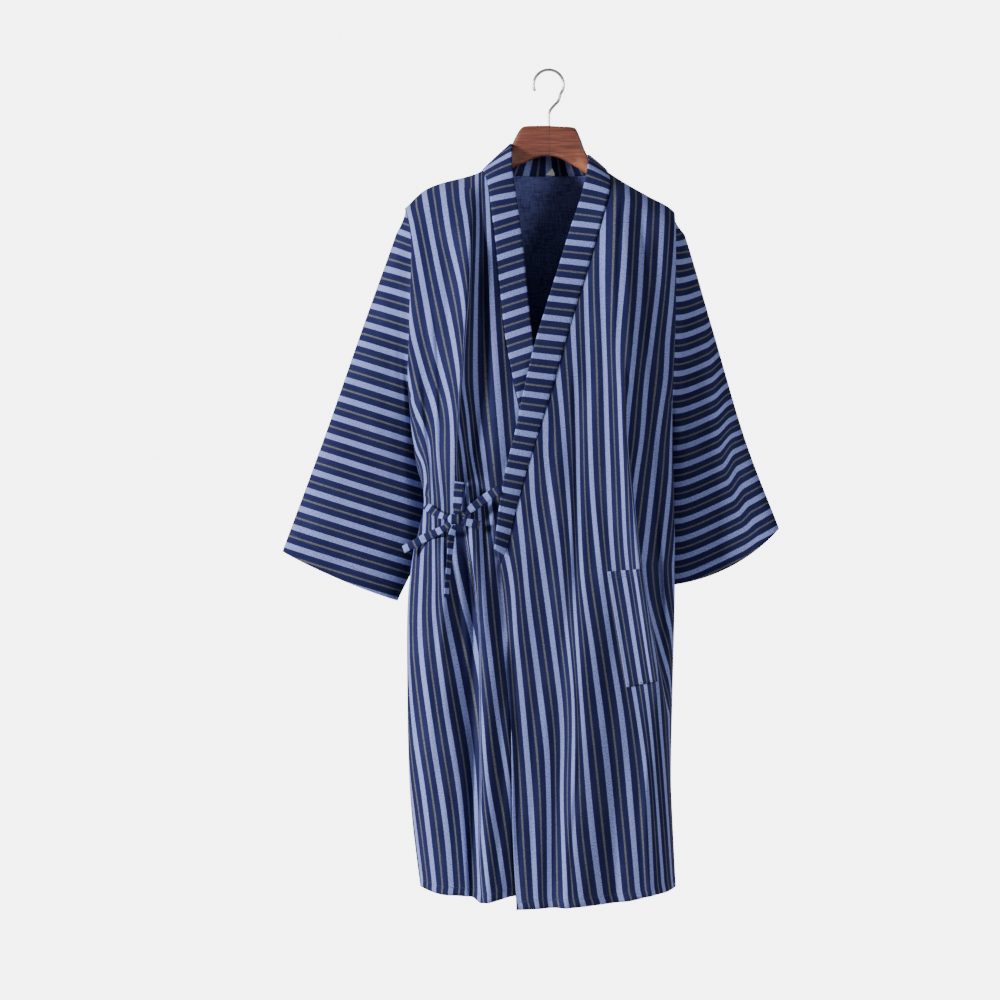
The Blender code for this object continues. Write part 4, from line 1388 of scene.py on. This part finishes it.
centre_drop = HOOK_RADIUS - HOOK_WIRE
path = [(0, 89.2), (0, 84), (0, 76), (0.2, 69), (2.2, 61.5), (8, 54), (15, 46.5)]
for step in range(15):
    angle = math.radians(-38 + (205 + 38) * step / 14)
    path.append((HOOK_RADIUS * math.cos(angle), centre_drop - HOOK_RADIUS * math.sin(angle)))
table = [(index, x, drop) for index, (x, drop) in enumerate(path)]
fine_path = [(along(table, step / 5, 1), along(table, step / 5, 2))
             for step in range((len(path) - 1) * 5 + 1)]
rings = []
for index, (x, drop) in enumerate(fine_path):
    ahead = fine_path[min(index + 1, len(fine_path) - 1)]
    behind = fine_path[max(index - 1, 0)]
    side = Vector((ahead[0] - behind[0], 0, behind[1] - ahead[1])).cross(Vector((0, 1, 0)))
    side.normalize()
    left = len(fine_path) - 1 - index
    radius = HOOK_WIRE * (0.5 if left == 0 else 0.86 if left == 1 else 1)
    rings.append([point(x, 0, drop) + (side * math.cos(2 * math.pi * step / 16)
                                       + Vector((0, math.sin(2 * math.pi * step / 16), 0))) * radius
                  for step in range(16)])
hook = tube("wire_hook", rings, [bright_wire("bright_wire")], "hook_metal")
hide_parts("hook")

# %% [markdown]
# ## Stitches
#
# Navy thread runs along the turned-up hems, round the cuffs, beside the collar seam and
# round the pocket. Each stitch is a tiny bar lying on the cloth between two of its points.

# %% Stitches
STITCH_LENGTH = 2.7
STITCH_EVERY = 4.3


def stitches_between(line):
    """Middle and direction of each stitch along a line of points."""
    made = []
    spots, marks = even_steps(line, max(int(sum((b - a).length for a, b in zip(line, line[1:]))
                                            / STITCH_EVERY), 2) + 1)
    for (first, _), (second, _) in zip(spots, spots[1:]):
        made.append(((first + second) / 2, (second - first).normalized()))
    return made


lines = []
for name, first, last, hem, out, facing in [
        ("under", -196, 38, HEM_UNDER, under_out, -1), ("over", -48, 197, HEM_OVER, over_out, -1),
        ("back", -195, 197, HEM_BACK, back_out, 1)]:
    line = []
    for step in range(161):
        x = mix(first, last, step / 160)
        drop = along(hem, x) - HEM_HEIGHT
        line.append(point(x, facing * (out(x, drop) + 0.45), drop))
    lines.append((line, Vector((0, facing, 0))))
for cuff_rings in (right_rings, left_rings):
    ring = cuff_rings[SLEEVE_ROWS - 5]
    middle = sum(ring, Vector()) / len(ring)
    half = SLEEVE_AROUND // 2
    for spots, facing in ((ring[:half], -1), (ring[half:], 1)):
        lines.append(([spot + (spot - middle).normalized() * 0.12 for spot in spots],
                      Vector((0, facing, 0))))
lines.append(([spots[1] + (spots[1] - spots[-2]).normalized() * 0.15 for spots in band_rows],
              Vector((0, -1, 0))))
for sides in ([(0.045, 0.02), (0.045, 0.98), (0.955, 0.98), (0.955, 0.02)],
              [(0.03, 0.03), (0.97, 0.03)], [(0.03, 0.055), (0.97, 0.055)]):
    for (a0, d0), (a1, d1) in zip(sides, sides[1:]):
        line = []
        for step in range(41):
            across, down = mix(a0, a1, step / 40), mix(d0, d1, step / 40)
            line.append(pocket_spot(across, down, pocket_lift(across, down) + 0.15))
        lines.append((line, Vector((0, -1, 0))))
work = bmesh.new()
for line, facing in lines:
    for middle, run in stitches_between(line):
        side = run.cross(facing).normalized()
        lift = side.cross(run)
        made = bmesh.ops.create_cube(work, size=1)
        for vert in made["verts"]:
            local = vert.co.copy()
            vert.co = (middle + run * local.x * STITCH_LENGTH + side * local.y * 0.55
                       + lift * local.z * 0.42) * MM
thread_mesh = bpy.data.meshes.new("thread")
work.to_mesh(thread_mesh)
print("stitches", len(work.faces) // 6)
work.free()
thread = show("thread", thread_mesh, [navy_thread])
for face in thread_mesh.polygons:
    face.use_smooth = False

# %% [markdown]
# ## Floor and light
#
# The robe hangs over a pale floor, in a white room. The main light is a soft window on the
# left, well to the side, so that each fold has a bright flank and a dark one. A weaker
# light on the right keeps the far sleeve from going black.

# %% Floor and light
def pale_paper():
    paint = Paint("pale_paper")
    cloud = paint.noise(paint.place(), 3.0, 2.0)
    paint.set("Base Color", paint.blend(cloud, (0.86, 0.86, 0.86, 1), (0.9, 0.9, 0.9, 1)))
    paint.set("Roughness", 0.9)
    paint.set("Specular IOR Level", 0.1)
    return paint.material


FLOOR_LEVEL = -1.9
work = bmesh.new()
bmesh.ops.create_grid(work, x_segments=1, y_segments=1, size=1.9)
bmesh.ops.translate(work, vec=(0, 0.3, FLOOR_LEVEL), verts=work.verts)
floor_mesh = bpy.data.meshes.new("pale_floor")
work.to_mesh(floor_mesh)
work.free()
floor = bpy.data.objects.new("pale_floor", floor_mesh)
bpy.context.scene.collection.objects.link(floor)
floor_mesh.materials.append(pale_paper())


def soft_light(name, place, aim, size, power):
    data = bpy.data.lights.new(name, "AREA")
    data.shape = "RECTANGLE"
    data.size, data.size_y = size
    data.energy = power
    lamp = bpy.data.objects.new(name, data)
    lamp.location = place
    lamp.rotation_mode = "QUATERNION"
    lamp.rotation_quaternion = (Vector(aim) - Vector(place)).to_track_quat("-Z", "Y")
    bpy.context.scene.collection.objects.link(lamp)


soft_light("window", (-4.2, -2.1, 0.7), (-0.05, 0, -0.7), (0.7, 1.1), 520)
soft_light("right_fill", (2.9, -2.9, 0.5), (0.1, 0, -0.7), (1.6, 1.6), 80)
soft_light("back_fill", (1.6, 3.4, 0.4), (0, 0, -0.7), (2.0, 2.0), 60)
world = bpy.data.worlds.new("white_room")
world.use_nodes = True
nodes = world.node_tree.nodes
ray = nodes.new("ShaderNodeLightPath")
strength = nodes.new("ShaderNodeMapRange")
strength.inputs[3].default_value = 0.15
strength.inputs[4].default_value = 6
world.node_tree.links.new(ray.outputs["Is Camera Ray"], strength.inputs[0])
world.node_tree.links.new(strength.outputs[0], nodes["Background"].inputs[1])
nodes["Background"].inputs[0].default_value = (1, 1, 1, 1)
bpy.context.scene.world = world
